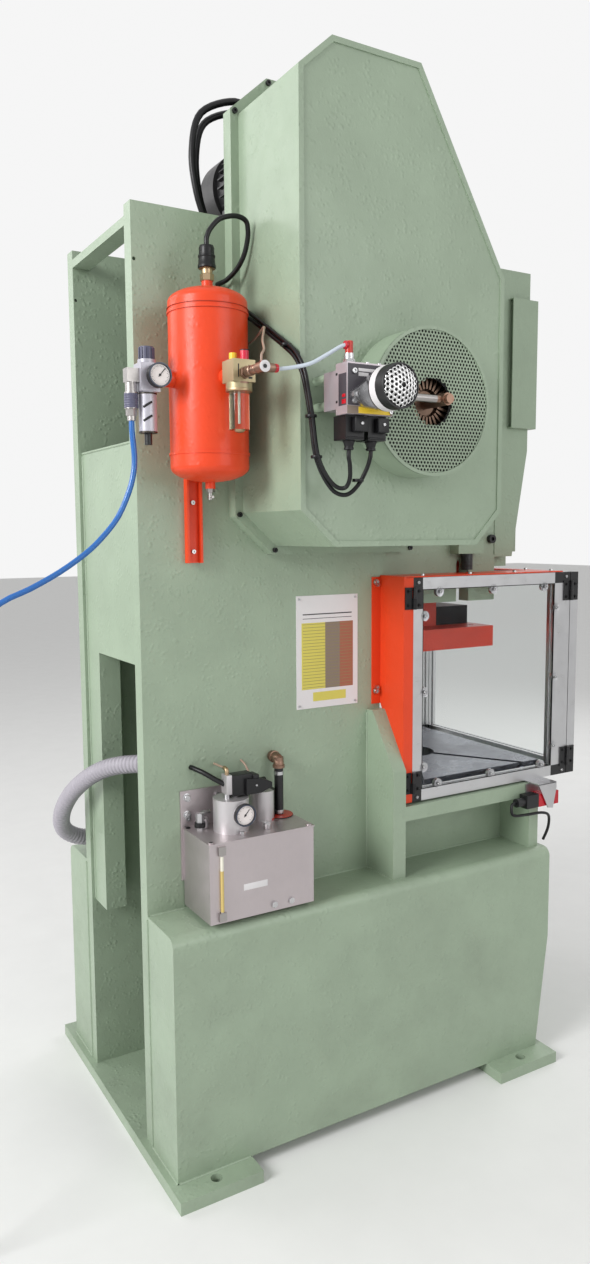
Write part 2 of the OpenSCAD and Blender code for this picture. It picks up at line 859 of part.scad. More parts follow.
neck_w = 200;
neck_back = 110;
parting = 12;
module ram() {
  raised() {
    top = ram_z + ram_h;
    color([0.72, 0.16, 0.10]) difference() {
      union() {
        block([-ram_w / 2, -ram_y - ram_d / 2, ram_z], [ram_w / 2, ram_d / 2 - ram_y, top]);
        block([-neck_w / 2, -ram_y - parting, flange_z + flange_t], [neck_w / 2, neck_back - ram_y, ram_z]);
        block([-flange_w / 2, -ram_y - flange_d / 2, flange_z],
          [flange_w / 2, flange_d / 2 - ram_y, flange_z + flange_t]);
      }
      block([-ball_r - 6, -ram_y - crank_e - ball_r - 4, ball_z - ball_r - 11],
        [ball_r + 6, crank_e + ball_r + 4 - ram_y, top + slack]);
      bar_z(flange_z - slack, flange_z + flange_t + 60, 0, -ram_y, shank_r);
      for (s = [-1, 1], t = [-1, 1])
        bar_z(flange_z - slack, flange_z + flange_t + slack, s * 140, -ram_y + t * 110, 9);
      block([-ram_w, -ram_y - 18, ram_z + 60], [ram_w, 18 - ram_y, ram_z + 60 + stroke]);
    }
  }
}

clamp_front = 130;
clamp_h = 54;
clamp_bolt_x = 70;
module shank_clamp() {
  raised() {
    z0 = flange_z + flange_t;
    color(black) difference() {
      block([-neck_w / 2, -ram_y - clamp_front, z0], [neck_w / 2, -ram_y - parting, z0 + clamp_h]);
      bar_z(z0 - slack, z0 + clamp_h + slack, 0, -ram_y, shank_r + seat);
      for (x = [-clamp_bolt_x, clamp_bolt_x])
        bar_y(-ram_y - clamp_front - slack, 14 - ram_y - clamp_front, x, z0 + clamp_h / 2, 13);
    }
  }
}

// Guards round the tool space

// Guard profile: its slots face the pane and the tool space, its outer faces are plain
module profile_shape(slots) {
  difference() {
    square(profile, center = true);
    for (a = slots) rotate(a) translate([profile / 2 - 4, -4]) square([4 + slack, 8]);
  }
}

module post(x, y, z0, z1, slots) {
  translate([x, y, z0]) linear_extrude(z1 - z0) profile_shape(slots);
}

module rail_y(y0, y1, x, z, slots) {
  translate([x, y1, z]) rotate([90, 0, 0]) linear_extrude(y1 - y0) profile_shape(slots);
}

module rail_x(x0, x1, y, z, slots) {
  translate([x0, y, z]) rotate([90, 0, 90]) linear_extrude(x1 - x0) profile_shape(slots);
}

module corner(x, y, z) {
  translate([x, y, z]) cube(profile, center = true);
}

// Hinge on a guard's outer face: side 1 is the fixed leaf with the lower knuckle, side -1 the door's
pin_out = 6;
pin_r = 5;
leaf_t = 3;
leaf_l = 22;
hinge_h = 56;
hinge_zs = [door_z + 24, guard_top - 24 - hinge_h];
module hinge(x, y, z, side) {
  z0 = side > 0 ? z : z + hinge_h / 2 + 0.2;
  z1 = side > 0 ? z + hinge_h / 2 - 0.2 : z + hinge_h;
  bar_z(z0, z1, x - pin_out, y, pin_r);
  translate([x, y, 0]) scale([1, side, 1]) {
    block([-leaf_t, pin_out, z], [0, pin_out + leaf_l, z + hinge_h]);
    block([-pin_out, pin_r - 2, z0], [-leaf_t + 0.8, pin_out + slack, z1]);
    for (k = [z + 10, z + hinge_h - 10]) screw_x(-leaf_t, pin_out + leaf_l / 2, k, 4);
  }
}

// Round nut that holds a clear pane to its profile
nut_r = 13;
nut_t = 7;
module pane_nut_x(x, y, z) {
  s = x < 0 ? -1 : 1;
  translate([x, y, z]) rotate([0, s * 90, 0]) cylinder(r = nut_r, h = nut_t, $fn = 32);
}

rail_lo = door_z + profile / 2;
rail_hi = guard_top - profile / 2;
nut_ys = [door_rear_y - 86, door_rear_y - 272, door_front_y + 69];
nut_zs = [door_z + 88, guard_top - 297, guard_top - 99];
module side_door(x) {
  y_rear = door_rear_y - profile / 2;
  y_front = door_front_y + profile / 2;
  color(alloy) {
    inward = x < 0 ? 0 : 180;
    post(x, y_rear, door_z + profile, guard_top - profile, [270, inward]);
    post(x, y_front, door_z + profile, guard_top - profile, [90, inward]);
    post(x, y_front - profile, door_z + profile, guard_top - profile, [inward]);
    for (side = [-1, 1])
      rail_y(door_front_y + profile, door_rear_y - profile, x, side < 0 ? rail_lo : rail_hi,
        [-90 * side, inward]);
  }
  color(black) for (z = [rail_lo, rail_hi]) {
    corner(x, y_rear, z);
    corner(x, y_front, z);
    corner(x, y_front - profile, z);
  }
  color(black) both_ends(x) {
    for (y = nut_ys, z = [door_z + 38, guard_top - 38]) pane_nut_x(-door_x + 9, y, z);
    for (y = [door_rear_y - 38, door_front_y + 23], z = nut_zs) pane_nut_x(-door_x + 9, y, z);
    for (z = hinge_zs) hinge(-door_x, door_rear_y, z, -1);
  }
}

// Keeps a left-hand detail on the left, or mirrors it for the right-hand door
module both_ends(x) {
  scale([x < 0 ? 1 : -1, 1, 1]) children();
}

pane_edge = 3;
pane_notch = 1.2;
module pane_outline(a0, a1) {
  difference() {
    translate([a0 - pane_edge, door_z + profile - pane_edge])
      square([a1 - a0 + 2 * pane_edge, guard_top - door_z - 2 * profile + 2 * pane_edge]);
    for (a = [a0 - pane_edge - slack, a1 - pane_notch],
        z = [door_z + profile - pane_edge - slack, guard_top - profile - pane_notch])
      translate([a, z]) square(pane_edge + slack + pane_notch);
  }
}

module side_pane(x) {
  color(clear) along_x(x - pane_t / 2, pane_t)
    pane_outline(door_front_y + profile, door_rear_y - profile);
}

module left_door() {
  side_door(-door_mid_x);
  color(black) for (z = hinge_zs) hinge(-door_x, front_door_y - 1, z, 1);
}

module left_door_pane() {
  side_pane(-door_mid_x);
}

module right_door() {
  side_door(door_mid_x);
}

module right_door_pane() {
  side_pane(door_mid_x);
}

front_y = front_door_y - profile / 2 - 2;
module front_door() {
  color(alloy) {
    for (side = [-1, 1]) {
      post(side * door_mid_x, front_y, door_z + profile, guard_top - profile, [90, 90 + 90 * side]);
      rail_x(profile - door_x, door_x - profile, front_y, side < 0 ? rail_lo : rail_hi, [-90 * side, 0]);
    }
  }
  color(black) {
    for (x = [-door_mid_x, door_mid_x], z = [rail_lo, rail_hi]) corner(x, front_y, z);
    for (z = hinge_zs) hinge(-door_x, front_door_y - 1, z, -1);
  }
}

module front_door_pane() {
  color(clear) along_y(front_y - pane_t / 2, pane_t) pane_outline(profile - door_x, door_x - profile);
}

panel_lip = 27;
panel_top = guard_top + 1 + panel_t;
panel_flange_low = 1050;
module side_panel() {
  block([half_w, -gap_y, panel_flange_low], [half_w + panel_t, panel_lip - gap_y, guard_top]);
  along_y(-gap_y - panel_t, panel_t)
    polygon([[half_w, panel_top], [door_x, panel_top], [door_x, door_z], [door_x - 26, door_z + 22],
      [door_x - 26, gusset_knee + 20], [half_w, panel_flange_low + 6]]);
  block([door_x - panel_t, door_rear_y + seat, door_z], [door_x, -gap_y - panel_t, guard_top]);
}

module guard_panels() {
  color(orange) {
    both_sides() side_panel();
    translate([0, 0, guard_top + 1]) linear_extrude(panel_t) difference() {
      polygon([[-door_x, -gap_y], [door_x, -gap_y], [door_x, door_front_y], [-door_x, door_front_y]]);
      polygon([[-half_w - seat, slack - gap_y], [half_w + seat, slack - gap_y],
        [half_w + seat, -cheek_y], [-half_w - seat, -cheek_y]]);
      for (s = [-1, 1]) translate([s * (half_w + stop_out / 2), -ram_y]) circle(stop_screw_r + 6, $fn = 32);
    }
  }
  color(black) both_sides() for (z = hinge_zs) hinge(-door_x, door_rear_y, z, 1);
}

module interlock_switch() {
  y0 = -525;
  x1 = -bed_edge - 4;
  x0 = x1 - 30;
  z1 = bed_top - 24;
  z0 = z1 - 37;
  color(steel) block([x1, y0 - 80, z0 + 8], [x1 + 2, y0, bed_top]);
  color(steel) block([x1 + 2, y0 - 80, z1 + 1], [-bed_edge, y0, z1 + 3]);
  color([0.75, 0.06, 0.10]) block([x0, y0 - 96, z0], [x1, y0 - 20, z1]);
  color(black) {
    block([x0, y0 - 20, z0], [x1, y0 + 24, z1]);
    bar_y(y0 + 24, y0 + 52, (x0 + x1) / 2, z0 + 18, 12);
  }
}

// Air service

tank_top = tank_z + tank_l;
dome_h = 32;
seam_low = 57;
seam_high = 57;
bracket_z = 1432;
port_z = 1825;
neck_h = 15;
module air_tank() {
  raised() {
    color(orange) {
      translate([tank_x, tank_y, tank_z]) rotate_extrude($fn = 96) tank_profile();
      difference() {
        block([-half_w - tank_gap, tank_y - 21, bracket_z], [-half_w, tank_y + 17, tank_z + 40]);
        block([-half_w - tank_gap - slack, tank_y - 16, bracket_z - slack],
          [-half_w - 4, tank_y + 12, tank_z + 40 + slack]);
      }
      bar_x(lube_x + 25, tank_x - tank_r + 14, tank_y, port_z, 17);
      bar_y(tank_y + tank_r - 14, tank_y + tank_r + 15, tank_x, port_z, 17);
      bar_z(tank_top - 6, tank_top + neck_h, tank_x, tank_y, 12);
      bar_z(tank_z - 14, tank_z + 6, tank_x, tank_y, 11);
      block([-half_w - tank_gap - 14, tank_y - 21, tank_z + 25],
        [-half_w - tank_gap, tank_y + 17, tank_z + 40]);
    }
  }
}

// Half section of the tank: straight wall with a bead at each seam, and dished ends
module tank_profile() {
  r = tank_r - 2;
  translate([0, dome_h]) square([r, tank_l - 2 * dome_h]);
  for (z = [seam_low, tank_l - seam_high]) translate([0, z]) square([tank_r, 5]);
  for (side = [0, 1]) translate([0, side * tank_l]) mirror([0, side, 0]) difference() {
    translate([0, dome_h]) scale([r, dome_h]) circle(1, $fn = round_fn);
    translate([-2 * r, -dome_h]) square([2 * r, 4 * dome_h]);
    translate([-r, dome_h]) square([3 * r, 2 * dome_h]);
  }
}

boot_h = 48;
boot_top = tank_top + neck_h + 26 + boot_h;
module tank_fittings() {
  raised() {
    color(brassy) {
      translate([tank_x, tank_y, tank_top + neck_h]) cylinder(r = 14.5, h = 15, $fn = 6);
      bar_z(tank_top + neck_h + 15, tank_top + neck_h + 26, tank_x, tank_y, 12);
      translate([tank_x, tank_y, tank_z - 22]) cylinder(r = 10, h = 8, $fn = 6);
      bar_z(tank_z - 38, tank_z - 22, tank_x, tank_y, 5);
      bar_x(tank_x - 12, tank_x + 12, tank_y, tank_z - 32, 3);
    }
    color(black) translate([tank_x, tank_y, tank_top + neck_h + 26])
      cylinder(r1 = 18, r2 = 13, h = boot_h, $fn = 48);
  }
}

reg_y = tank_y + tank_r + 57;
reg_x = -340;
reg_z = port_z;
gauge_y = reg_y - 10;
module filter_regulator() {
  raised() {
    color(alloy) {
      block([reg_x - 21, reg_y - 21, reg_z - 32], [reg_x + 21, reg_y + 21, reg_z + 26]);
      bar_y(tank_y + tank_r + 15, reg_y - 21, reg_x, reg_z, 14);
      bar_z(reg_z + 26, reg_z + 34, reg_x, reg_y, 19);
      bar_z(reg_z - 116, reg_z - 32, reg_x, reg_y, 19);
      bar_z(reg_z - 140, reg_z - 116, reg_x, reg_y, 8);
      bar_x(reg_x - 34, reg_x - 21, gauge_y, reg_z - 2, 9);
    }
    color(black) ring_x(reg_x - 50, reg_x - 34, gauge_y, reg_z - 2, gauge_r, gauge_r - 3);
    color("white") bar_x(reg_x - 46, reg_x - 34, gauge_y, reg_z - 2, gauge_r - 3);
  }
}

knob_z = reg_z + 34.3;
module regulator_knob() {
  raised() {
    color([0.30, 0.30, 0.36]) {
      bar_z(knob_z, knob_z + 26, reg_x, reg_y, 15);
      for (a = [0:30:330]) translate([reg_x, reg_y, knob_z]) rotate([0, 0, a])
        block([13, -1.5, 0], [17, 1.5, 24]);
    }
  }
}

module needle(x, y, z, len) {
  color(black) {
    bar_x(x - 1.5, x, y, z, 2.5);
    translate([x - 1.2, y, z]) rotate([40, 0, 0]) block([0, -0.8, -5], [0.8, 0.8, len]);
  }
}

air_needle_x = reg_x - 46.3;
module air_gauge_needle() {
  raised() {
    needle(air_needle_x, gauge_y, reg_z - 2, gauge_r - 7);
  }
}

hose_x = -340;
hose_y = reg_y + 36;
hose_z = 1733;
module hose_coupling() {
  raised() {
    color(steel) {
      block([hose_x - 12, reg_y + 21, reg_z - 14], [hose_x + 12, hose_y + 12, reg_z + 14]);
      bar_z(reg_z - 34, reg_z - 14, hose_x, hose_y, 12);
      bar_z(hose_z, hose_z + 10, hose_x, hose_y, 9);
      translate([hose_x, hose_y, hose_z + 10]) cylinder(r = 12, h = 14, $fn = 6);
    }
    color(black) bar_z(hose_z + 24, reg_z - 34, hose_x, hose_y, 14);
  }
}

lube_x = tank_x - tank_r - 30 - 25;
lube_z = 1822;
banjo_x = lube_x - 99;
banjo_z = lube_z - 1;
module lubricator() {
  raised() {
    color([0.66, 0.60, 0.40]) {
      block([lube_x - 25, tank_y - 25, lube_z - 18], [lube_x + 25, tank_y + 25, lube_z + 26]);
      bar_z(lube_z - 34, lube_z - 18, lube_x, tank_y, 27);
      bar_x(lube_x - 60, lube_x - 25, tank_y, lube_z, 9);
    }
    color("yellow") bar_z(lube_z + 26, lube_z + 42, lube_x + 8, tank_y + 9, 8);
    color("red") bar_z(lube_z + 26, lube_z + 46, lube_x - 8, tank_y - 9, 9);
    color(brassy) {
      bar_x(banjo_x - 8, lube_x - 60, tank_y, banjo_z, 8);
      bar_x(banjo_x - 12, banjo_x + 12, tank_y, banjo_z, 11);
      bar_y(tank_y - 34, tank_y - 8, banjo_x, banjo_z, 7);
    }
  }
}

module lubricator_bowl() {
  raised() {
    color(clear) {
      bar_z(lube_z - 112, lube_z - 34, lube_x, tank_y, 21);
    }
  }
}

valve_y0 = 173;
valve_y1 = 283;
valve_x0 = -655;
valve_x1 = -571;
valve_z0 = 1732;
valve_z1 = 1832;
union_x = -634;
module air_tubes() {
  raised() {
    color(clear) tube(smooth([[banjo_x, tank_y - 34 - seat, banjo_z], [banjo_x, tank_y - 42, banjo_z],
      [-584, 360, lube_z + 3], [-600, 332, lube_z + 10], [-612, 301, lube_z + 28], [-619, 277, lube_z + 43],
      [-622, 268, lube_z + 47], [-622, 264, lube_z + 48]], 5), 8);
    color([0.6, 0.45, 0.35]) tube(smooth([[banjo_x + 2, tank_y, banjo_z + 11 + seat],
      [banjo_x + 2, tank_y, banjo_z + 18], [banjo_x + 4, tank_y - 2, banjo_z + 26],
      [banjo_x + 20, 412, lube_z + 38], [-520, 396, lube_z + 62], [-470, 366, lube_z + 92],
      [-420, 339, lube_z + 112], [-360, 328, lube_z + 100], [-290, 324, lube_z + 92],
      [guard_back_x - 12, 324, lube_z + 92], [guard_back_x, 324, lube_z + 92]], 4), 5);
  }
}

module safety_valve() {
  raised() {
    mid = (valve_z0 + valve_z1) / 2;
    color([0.62, 0.56, 0.58]) {
      block([-615, valve_y0 + 10, mid - 38], [valve_x1, valve_y1, mid + 38]);
      block([valve_x0, valve_y0, valve_z0], [-615, valve_y1, valve_z1]);
      for (z = [1758, 1812]) bar_x(valve_x1, guard_face_x + guard_wall, valve_y1 - 12, z, 9);
      for (z = [1758, 1812]) bar_x(valve_x1, guard_face_x + guard_wall, valve_y0 + 26, z, 9);
    }
    color("red") bar_z(lube_z + 32, lube_z + 56, -622, 256, 8);
    color(steel) bar_z(valve_z1, lube_z + 32, -622, 256, 10);
  }
}

silencer_y = 215;
silencer_z = 1779;
module valve_silencer() {
  raised() {
    color(steel) bar_x(-690, valve_x0, silencer_y, silencer_z, 34);
    color(black) difference() {
      bar_x(-738, -690, silencer_y, silencer_z, 44);
      bar_x(-738 - slack, -728, silencer_y, silencer_z, 34);
    }
    color(steel) difference() {
      translate([-728, silencer_y, silencer_z]) rotate([0, -90, 0])
        cylinder(r1 = 33, r2 = 20, h = 22, $fn = round_fn);
      for (a = [0:45:315]) translate([-760, silencer_y, silencer_z]) rotate([a, 0, 0])
        bar_x(0, 30, 0, 12, 2.5);
    }
  }
}

module valve_solenoids() {
  raised() {
    color(black) for (y = [178, 232]) {
      block([-640, y, 1684], [-596, y + 44, valve_z0]);
      bar_z(1670, 1684, -618, y + 22, 9);
    }
  }
}

module rotary_union() {
  raised() {
    color(brassy) {
      bar_x(-648, clutch_x0 - 8.3, shaft_y, shaft_z, 13);
      bar_x(-656, -648, shaft_y, shaft_z, 10);
    }
    color(steel) bar_y(shaft_y + 12, valve_y0, union_x, shaft_z, 8);
  }
}

// Cables of the head, which rise with it
box_y = motor_y + 50 + seat;
head_cables = [
  [11, [[tank_x, tank_y, boot_top + seat], [tank_x, tank_y, boot_top + 8], [tank_x, tank_y - 1, boot_top + 18],
    [-335, 419, 2147], [-338, 397, 2170],
    [-339, 362, 2181], [-338, 336, 2176], [-332, 327, 2159], [-325, 325, 2139], [-312, 327, 2111],
    [-292, 334, 2086], [-265, 345, 2068], [-247, 351, 2064], [-237, 352, 2064], [-half_w, 352, 2064]]],
  [9, [[-half_w, 372, 1990], [-237, 372, 1990], [-247, 371, 1990], [-280, 345, 1992], [-300, 328, 1985],
    [-326, 322, 1972], [-382, 322, 1942], [-430, 321, 1914], [-480, 321, 1885], [-520, 320, 1857],
    [-541, 316, 1822], [-549, 312, 1786], [-553, 308, 1753], [-554, 303, 1719], [-557, 298, 1668],
    [-561, 289, 1634], [-567, 273, 1601], [-575, 256, 1581], [-587, 236, 1578], [-599, 218, 1597],
    [-610, 205, 1628], [-617, 201, 1650], [-618, 200, 1660], [-618, 200, 1670]]],
  [9, [[-half_w, 372, 2000], [-237, 372, 2000], [-247, 371, 2000], [-280, 345, 2002], [-303, 328, 1995],
    [-331, 322, 1982], [-387, 322, 1950], [-435, 321, 1922], [-485, 321, 1893], [-526, 320, 1865],
    [-550, 316, 1827], [-559, 313, 1787], [-563, 309, 1753], [-564, 304, 1719], [-567, 299, 1670],
    [-571, 291, 1638], [-577, 276, 1609], [-585, 260, 1592], [-595, 246, 1592], [-607, 244, 1610],
    [-616, 250, 1636], [-618, 254, 1650], [-618, 254, 1660], [-618, 254, 1670]]],
  [16, [[-120, box_y, 2500], [-120, box_y + 12, 2500], [-121, box_y + 30, 2503], [-128, 250, 2520],
    [-140, 345, 2470], [-145, 372, 2380], [-145, 362, 2290], [-140, 330, 2200], [-140, 330, 2120]]],
  [16, [[-90, box_y, 2500], [-90, box_y + 12, 2500], [-91, box_y + 30, 2502], [-98, 245, 2506],
    [-112, 325, 2460], [-118, 350, 2380], [-118, 342, 2290], [-115, 312, 2200], [-115, 312, 2120]]]];
// The interlock's cable, from the bed plate's edge
interlock_cable = [[-19, -473, 752], [-19, -465, 752], [-20, -456, 746], [-25, -458, 722], [-26, -505, 716],
  [-28, -560, 714], [-24, -594, 700], [-12, -606, 660], [4, -604, 620]];
module control_cables() {
  color(black) {
    raised() for (c = head_cables) tube(smooth(c[1], 4), c[0]);
    tube(smooth([for (p = interlock_cable) p + [-bed_edge, 0, 0]], 4), 8);
    tube(smooth([[oil_x + 2, 445, 951], [oil_x - 8, 444, 950], [-262, 425, 938], [-290, 380, 912]], 4), 9);
  }
}

// Data plate, bare

data_y0 = -35;
data_y1 = 149;
data_z0 = 1057;
data_z1 = 1343;
module data_plate() {
  raised() {
    color("white") block([-half_w - 1.5, data_y0, data_z0], [-half_w, data_y1, data_z1]);
  }
}

// Oil unit

module oil_tank() {
  x1 = oil_x - oil_out;
  color(steel) {
    block([x1, oil_y - oil_l, oil_z], [oil_x, oil_y, oil_z + oil_h - 3]);
    block([x1 - 2, oil_y - oil_l - 2, oil_z + oil_h - 3], [oil_x, oil_y + 2, oil_z + oil_h]);
    block([oil_x, oil_y - 110, oil_z + 60], [-half_w, oil_y + 6, oil_z + oil_h + 88]);
    for (y = [oil_y - 8, oil_y - oil_l + 8])
      bar_z(oil_z + oil_h, oil_z + oil_h + 3, x1 + 8, y, 7);
  }
  color(black) {
    block([x1 - 7, oil_y - 38, oil_z + 6], [x1, oil_y - 20, oil_z + 26]);
    block([x1 - 7, oil_y - 38, oil_z + oil_h - 28], [x1, oil_y - 20, oil_z + oil_h - 8]);
  }
  color("gold") bar_z(oil_z + 26, oil_z + oil_h - 28, x1 - 3, oil_y - 29, 4);
}

pump_x = -300;
pump_y = 373;
oil_top = oil_z + oil_h;
pump_r = 42;
pump_h = 78;
oil_gauge_x = -352;
oil_gauge_y = pump_y - 12;
oil_gauge_z = 853;
oil_gauge_r = 26;
module oil_pump() {
  color(alloy) {
    bar_z(oil_top, oil_top + pump_h, pump_x, pump_y, pump_r);
    bar_z(oil_top, oil_top + 72, -262, 268, 30);
    bar_x(oil_gauge_x + 14, pump_x - 34, oil_gauge_y, oil_gauge_z, 8);
    bar_z(oil_top, oil_top + 22, -250, 420, 11);
    bar_z(oil_top, oil_top + 16, -330, 300, 7);
  }
  color(black) {
    ring_x(oil_gauge_x - 2, oil_gauge_x + 14, oil_gauge_y, oil_gauge_z, oil_gauge_r, oil_gauge_r - 3);
    block([-300, 300, oil_top + 76], [-262, 362, oil_top + 112]);
    bar_y(272, 300, -281, oil_top + 95, 13);
    bar_z(oil_top + 3, oil_top + 120, -262, 222, 11);
  }
  color("white") bar_x(oil_gauge_x + 2, oil_gauge_x + 14, oil_gauge_y, oil_gauge_z, oil_gauge_r - 3);
  color("red") difference() {
    bar_z(oil_top, oil_top + 3, -262, 222, 34);
    bar_z(oil_top - slack, oil_top + 3 + slack, -262, 222, 4);
  }
  color(alloy) bar_z(oil_top + pump_h - slack, oil_top + 104, pump_x, pump_y - 10, 8);
  color(brassy) {
    bar_z(oil_top + 120, oil_top + 146, -262, 222, 12);
    bar_x(-262, -half_w, 222, oil_top + 140, 11);
    block([-302, 345, oil_top + 72], [-292, 352, oil_top + 76]);
  }
}

module oil_gauge_needle() {
  needle(oil_gauge_x + 1.7, oil_gauge_y, oil_gauge_z, 16);
}

// Conduit and cabinet

module grey_conduit() {
  color([0.62, 0.61, 0.64]) tube(smooth([[-in_x + seat, 428, 936], [-in_x + 10, 428, 936],
    [-in_x + 24, 429, 936], [-140, 436, 936], [-70, 494, 932], [10, 548, 915], [80, 585, 880],
    [160, 612, 820], [225, 622, 750], [270, 606, 690], [288, 560, 655], [290, 500, 645],
    [290, cabinet_back_y + 30, 645], [290, cabinet_back_y + 12, 645], [290, cabinet_back_y + seat, 645]],
    4), conduit_d, 12);
}

module control_cabinet() {
  lo = [cabinet_x, cabinet_y, cabinet_z];
  hi = lo + [cabinet_d, cabinet_w, cabinet_h];
  w = [cabinet_wall, cabinet_wall, cabinet_wall];
  color([0.62, 0.61, 0.64]) {
    difference() {
      block(lo, hi);
      block(lo + w, hi - w + [2 * cabinet_wall, 0, 0]);
    }
    for (z = [cabinet_z + 80, cabinet_z + cabinet_h - 110])
      block([half_w, cabinet_y + 60, z], [cabinet_x, cabinet_y + cabinet_w - 60, z + 30]);
    cabinet_hinges();
  }
}

cabinet_face_x = cabinet_x + cabinet_d;
door_d = 21;
pivot_x = cabinet_face_x + door_d + seat;
pivot_y = cabinet_back_y + seat;
pivot_r = 5;
pivot_l = 24;
pivot_zs = [cabinet_z + 70, cabinet_z + cabinet_h - 70 - 2 * pivot_l];
module cabinet_door() {
  color([0.62, 0.61, 0.64]) {
    difference() {
      block([cabinet_face_x + seat, cabinet_y, cabinet_z],
        [cabinet_face_x + door_d, cabinet_back_y, cabinet_z + cabinet_h]);
      block([cabinet_face_x, cabinet_y + cabinet_wall, cabinet_z + cabinet_wall],
        [cabinet_face_x + door_d - cabinet_wall, cabinet_back_y - cabinet_wall,
          cabinet_z + cabinet_h - cabinet_wall]);
      for (z = pivot_zs) bar_z(z - seat, z + pivot_l + seat, pivot_x, pivot_y, pivot_r + seat);
    }
    for (z = pivot_zs) bar_z(z + pivot_l + seat, z + 2 * pivot_l, pivot_x, pivot_y, pivot_r);
  }
}

// Leaves and lower knuckles of the cabinet's hinges
module cabinet_hinges() {
  for (z = pivot_zs) {
    bar_z(z, z + pivot_l, pivot_x, pivot_y, pivot_r);
    block([cabinet_face_x - 24, cabinet_back_y - slack, z],
      [cabinet_face_x, cabinet_back_y + 3, z + pivot_l]);
    block([cabinet_face_x - slack, pivot_y, z], [pivot_x, cabinet_back_y + 3, z + pivot_l]);
  }
}

isolator_y = 120;
isolator_z = 1180;
module isolator_handle() {
  color("red") {
    bar_x(cabinet_face_x + door_d + seat, cabinet_face_x + 34, isolator_y, isolator_z, 24);
    block([cabinet_face_x + 34, isolator_y - 8, isolator_z - 24],
      [cabinet_face_x + 50, isolator_y + 8, isolator_z + 24]);
  }
}

// Fasteners, all with socket heads

module screw_x(x, y, z, r) {
  s = x < 0 ? -1 : 1;
  translate([x, y, z]) rotate([0, s * 90, 0]) difference() {
    cylinder(r = r, h = r, $fn = 24);
    translate([0, 0, r * 0.4]) cylinder(r = r * 0.5, h = r, $fn = 6);
  }
}

module screws() {
  color(steel) {
    raised() {
      for (y = [data_y0 + 8, data_y1 - 8], z = [data_z0 + 8, data_z1 - 8]) screw_x(-half_w - 1.5, y, z, 3);
      for (z = [bracket_z + 26, bracket_z + 138]) screw_x(-half_w - 4, tank_y - 2, z, 5);
    }
    for (z = [panel_flange_low + 43, guard_top - 20], s = [-1, 1])
      screw_x(s * (half_w + panel_t), 12 - gap_y, z, 6);
    for (z = [oil_top + 20, oil_top + 68], y = [oil_y - 90, oil_y - 12]) screw_x(-half_w - 4, y, z, 6);
  }
  color(black) raised() {
    screw_x(-half_w, -487, 1479, 12);
    screw_x(half_w, -487, 1479, 12);
    for (p = grown(guard_pts, (guard_step) / 2)) screw_x(guard_back_x, p.x, p.y, 6);
    for (a = [60:30:270])
      screw_x(half_w + 6, -ram_y + case_bolt_r * cos(a), crank_z + case_bolt_r * sin(a), 6);
  }
}

// Air hose: leaves the coupling downwards, sags out of reach, drops to the floor, then is coiled
hose_drawn = [[hose_y, hose_z], [hose_y, 1718], [hose_y - 1, 1700], [605, 1660], [608, 1625], [619, 1587],
  [644, 1535], [680, 1492], [716, 1460], [770, 1424], [831, 1392], [890, 1366], [945, 1318], [980, 1250],
  [998, 1170], [1006, 1060], [1008, 860], [1008, 620], [1008, 380], [1010, 200], [1016, 110], [1034, 50],
  [1066, 16], [1088, 6]];
hose_route = [for (p = hose_drawn) [hose_x, p.x, p.y + lift * p.y / hose_z]];
coil_w = 2 * hose_d;
coil_h = 43;
coil_r = 72;
coil_tail = 70;
plug_r = 9;
coil_y = 1130;
coil_x = hose_x + coil_r;
module air_hose() {
  color([0.05, 0.30, 0.70]) tube(smooth(hose_route, 3), hose_d);
}

module air_hose_coil() {
  color([0.05, 0.30, 0.70]) {
    translate([coil_x, coil_y, 0]) rotate_extrude($fn = 64)
      translate([coil_r + hose_d / 2 - coil_w, 0]) square([coil_w, coil_h]);
    bar_y(coil_y - coil_tail, coil_y, coil_x + coil_r, plug_r, hose_d / 2);
  }
}

// Plug of the hose's supply end, lying beside the coil
module hose_end_coupling() {
  x = coil_x + coil_r;
  y = coil_y - coil_tail;
  color(steel) {
    bar_y(y - 30, y, x, plug_r, plug_r);
    bar_y(y - 54, y - 30, x, plug_r, 6);
    bar_y(y - 47, y - 42, x, plug_r, 7.5);
  }
}

left_side_plate();
right_side_plate();
cross_plates();
foot_plates();
base_boxes();
bed_plate();
bolster_plate();
ram_guides();
head_cover();
knockout_stops();
belt_guard();
belt_guard_frame();
guard_cap();
shaft_bearings();
gear_case();
motor();
motor_mount();
v_belts();
air_tank();
tank_fittings();
filter_regulator();
hose_coupling();
lubricator();
lubricator_bowl();
air_tubes();
safety_valve();
valve_silencer();
valve_solenoids();
control_cables();
rotary_union();
data_plate();
guard_panels();
interlock_switch();
oil_tank();
oil_pump();
grey_conduit();
control_cabinet();
screws();
air_hose();
air_hose_coil();
hose_end_coupling();
flywheel();
motor_pulley();
drive_shaft();
crankshaft();
bull_gear();
conrod();
ram();
shank_clamp();
left_door();
left_door_pane();
front_door();
front_door_pane();
right_door();
right_door_pane();
cabinet_door();
isolator_handle();
regulator_knob();
air_gauge_needle();
oil_gauge_needle();
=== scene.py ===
"""Dresses a gap-frame stamping press: finishes, cords, small fittings, floor, light and camera."""
import math

import bmesh
import bpy
from bpy.props import FloatProperty, FloatVectorProperty, IntProperty, PointerProperty
from mathutils import Matrix, Vector


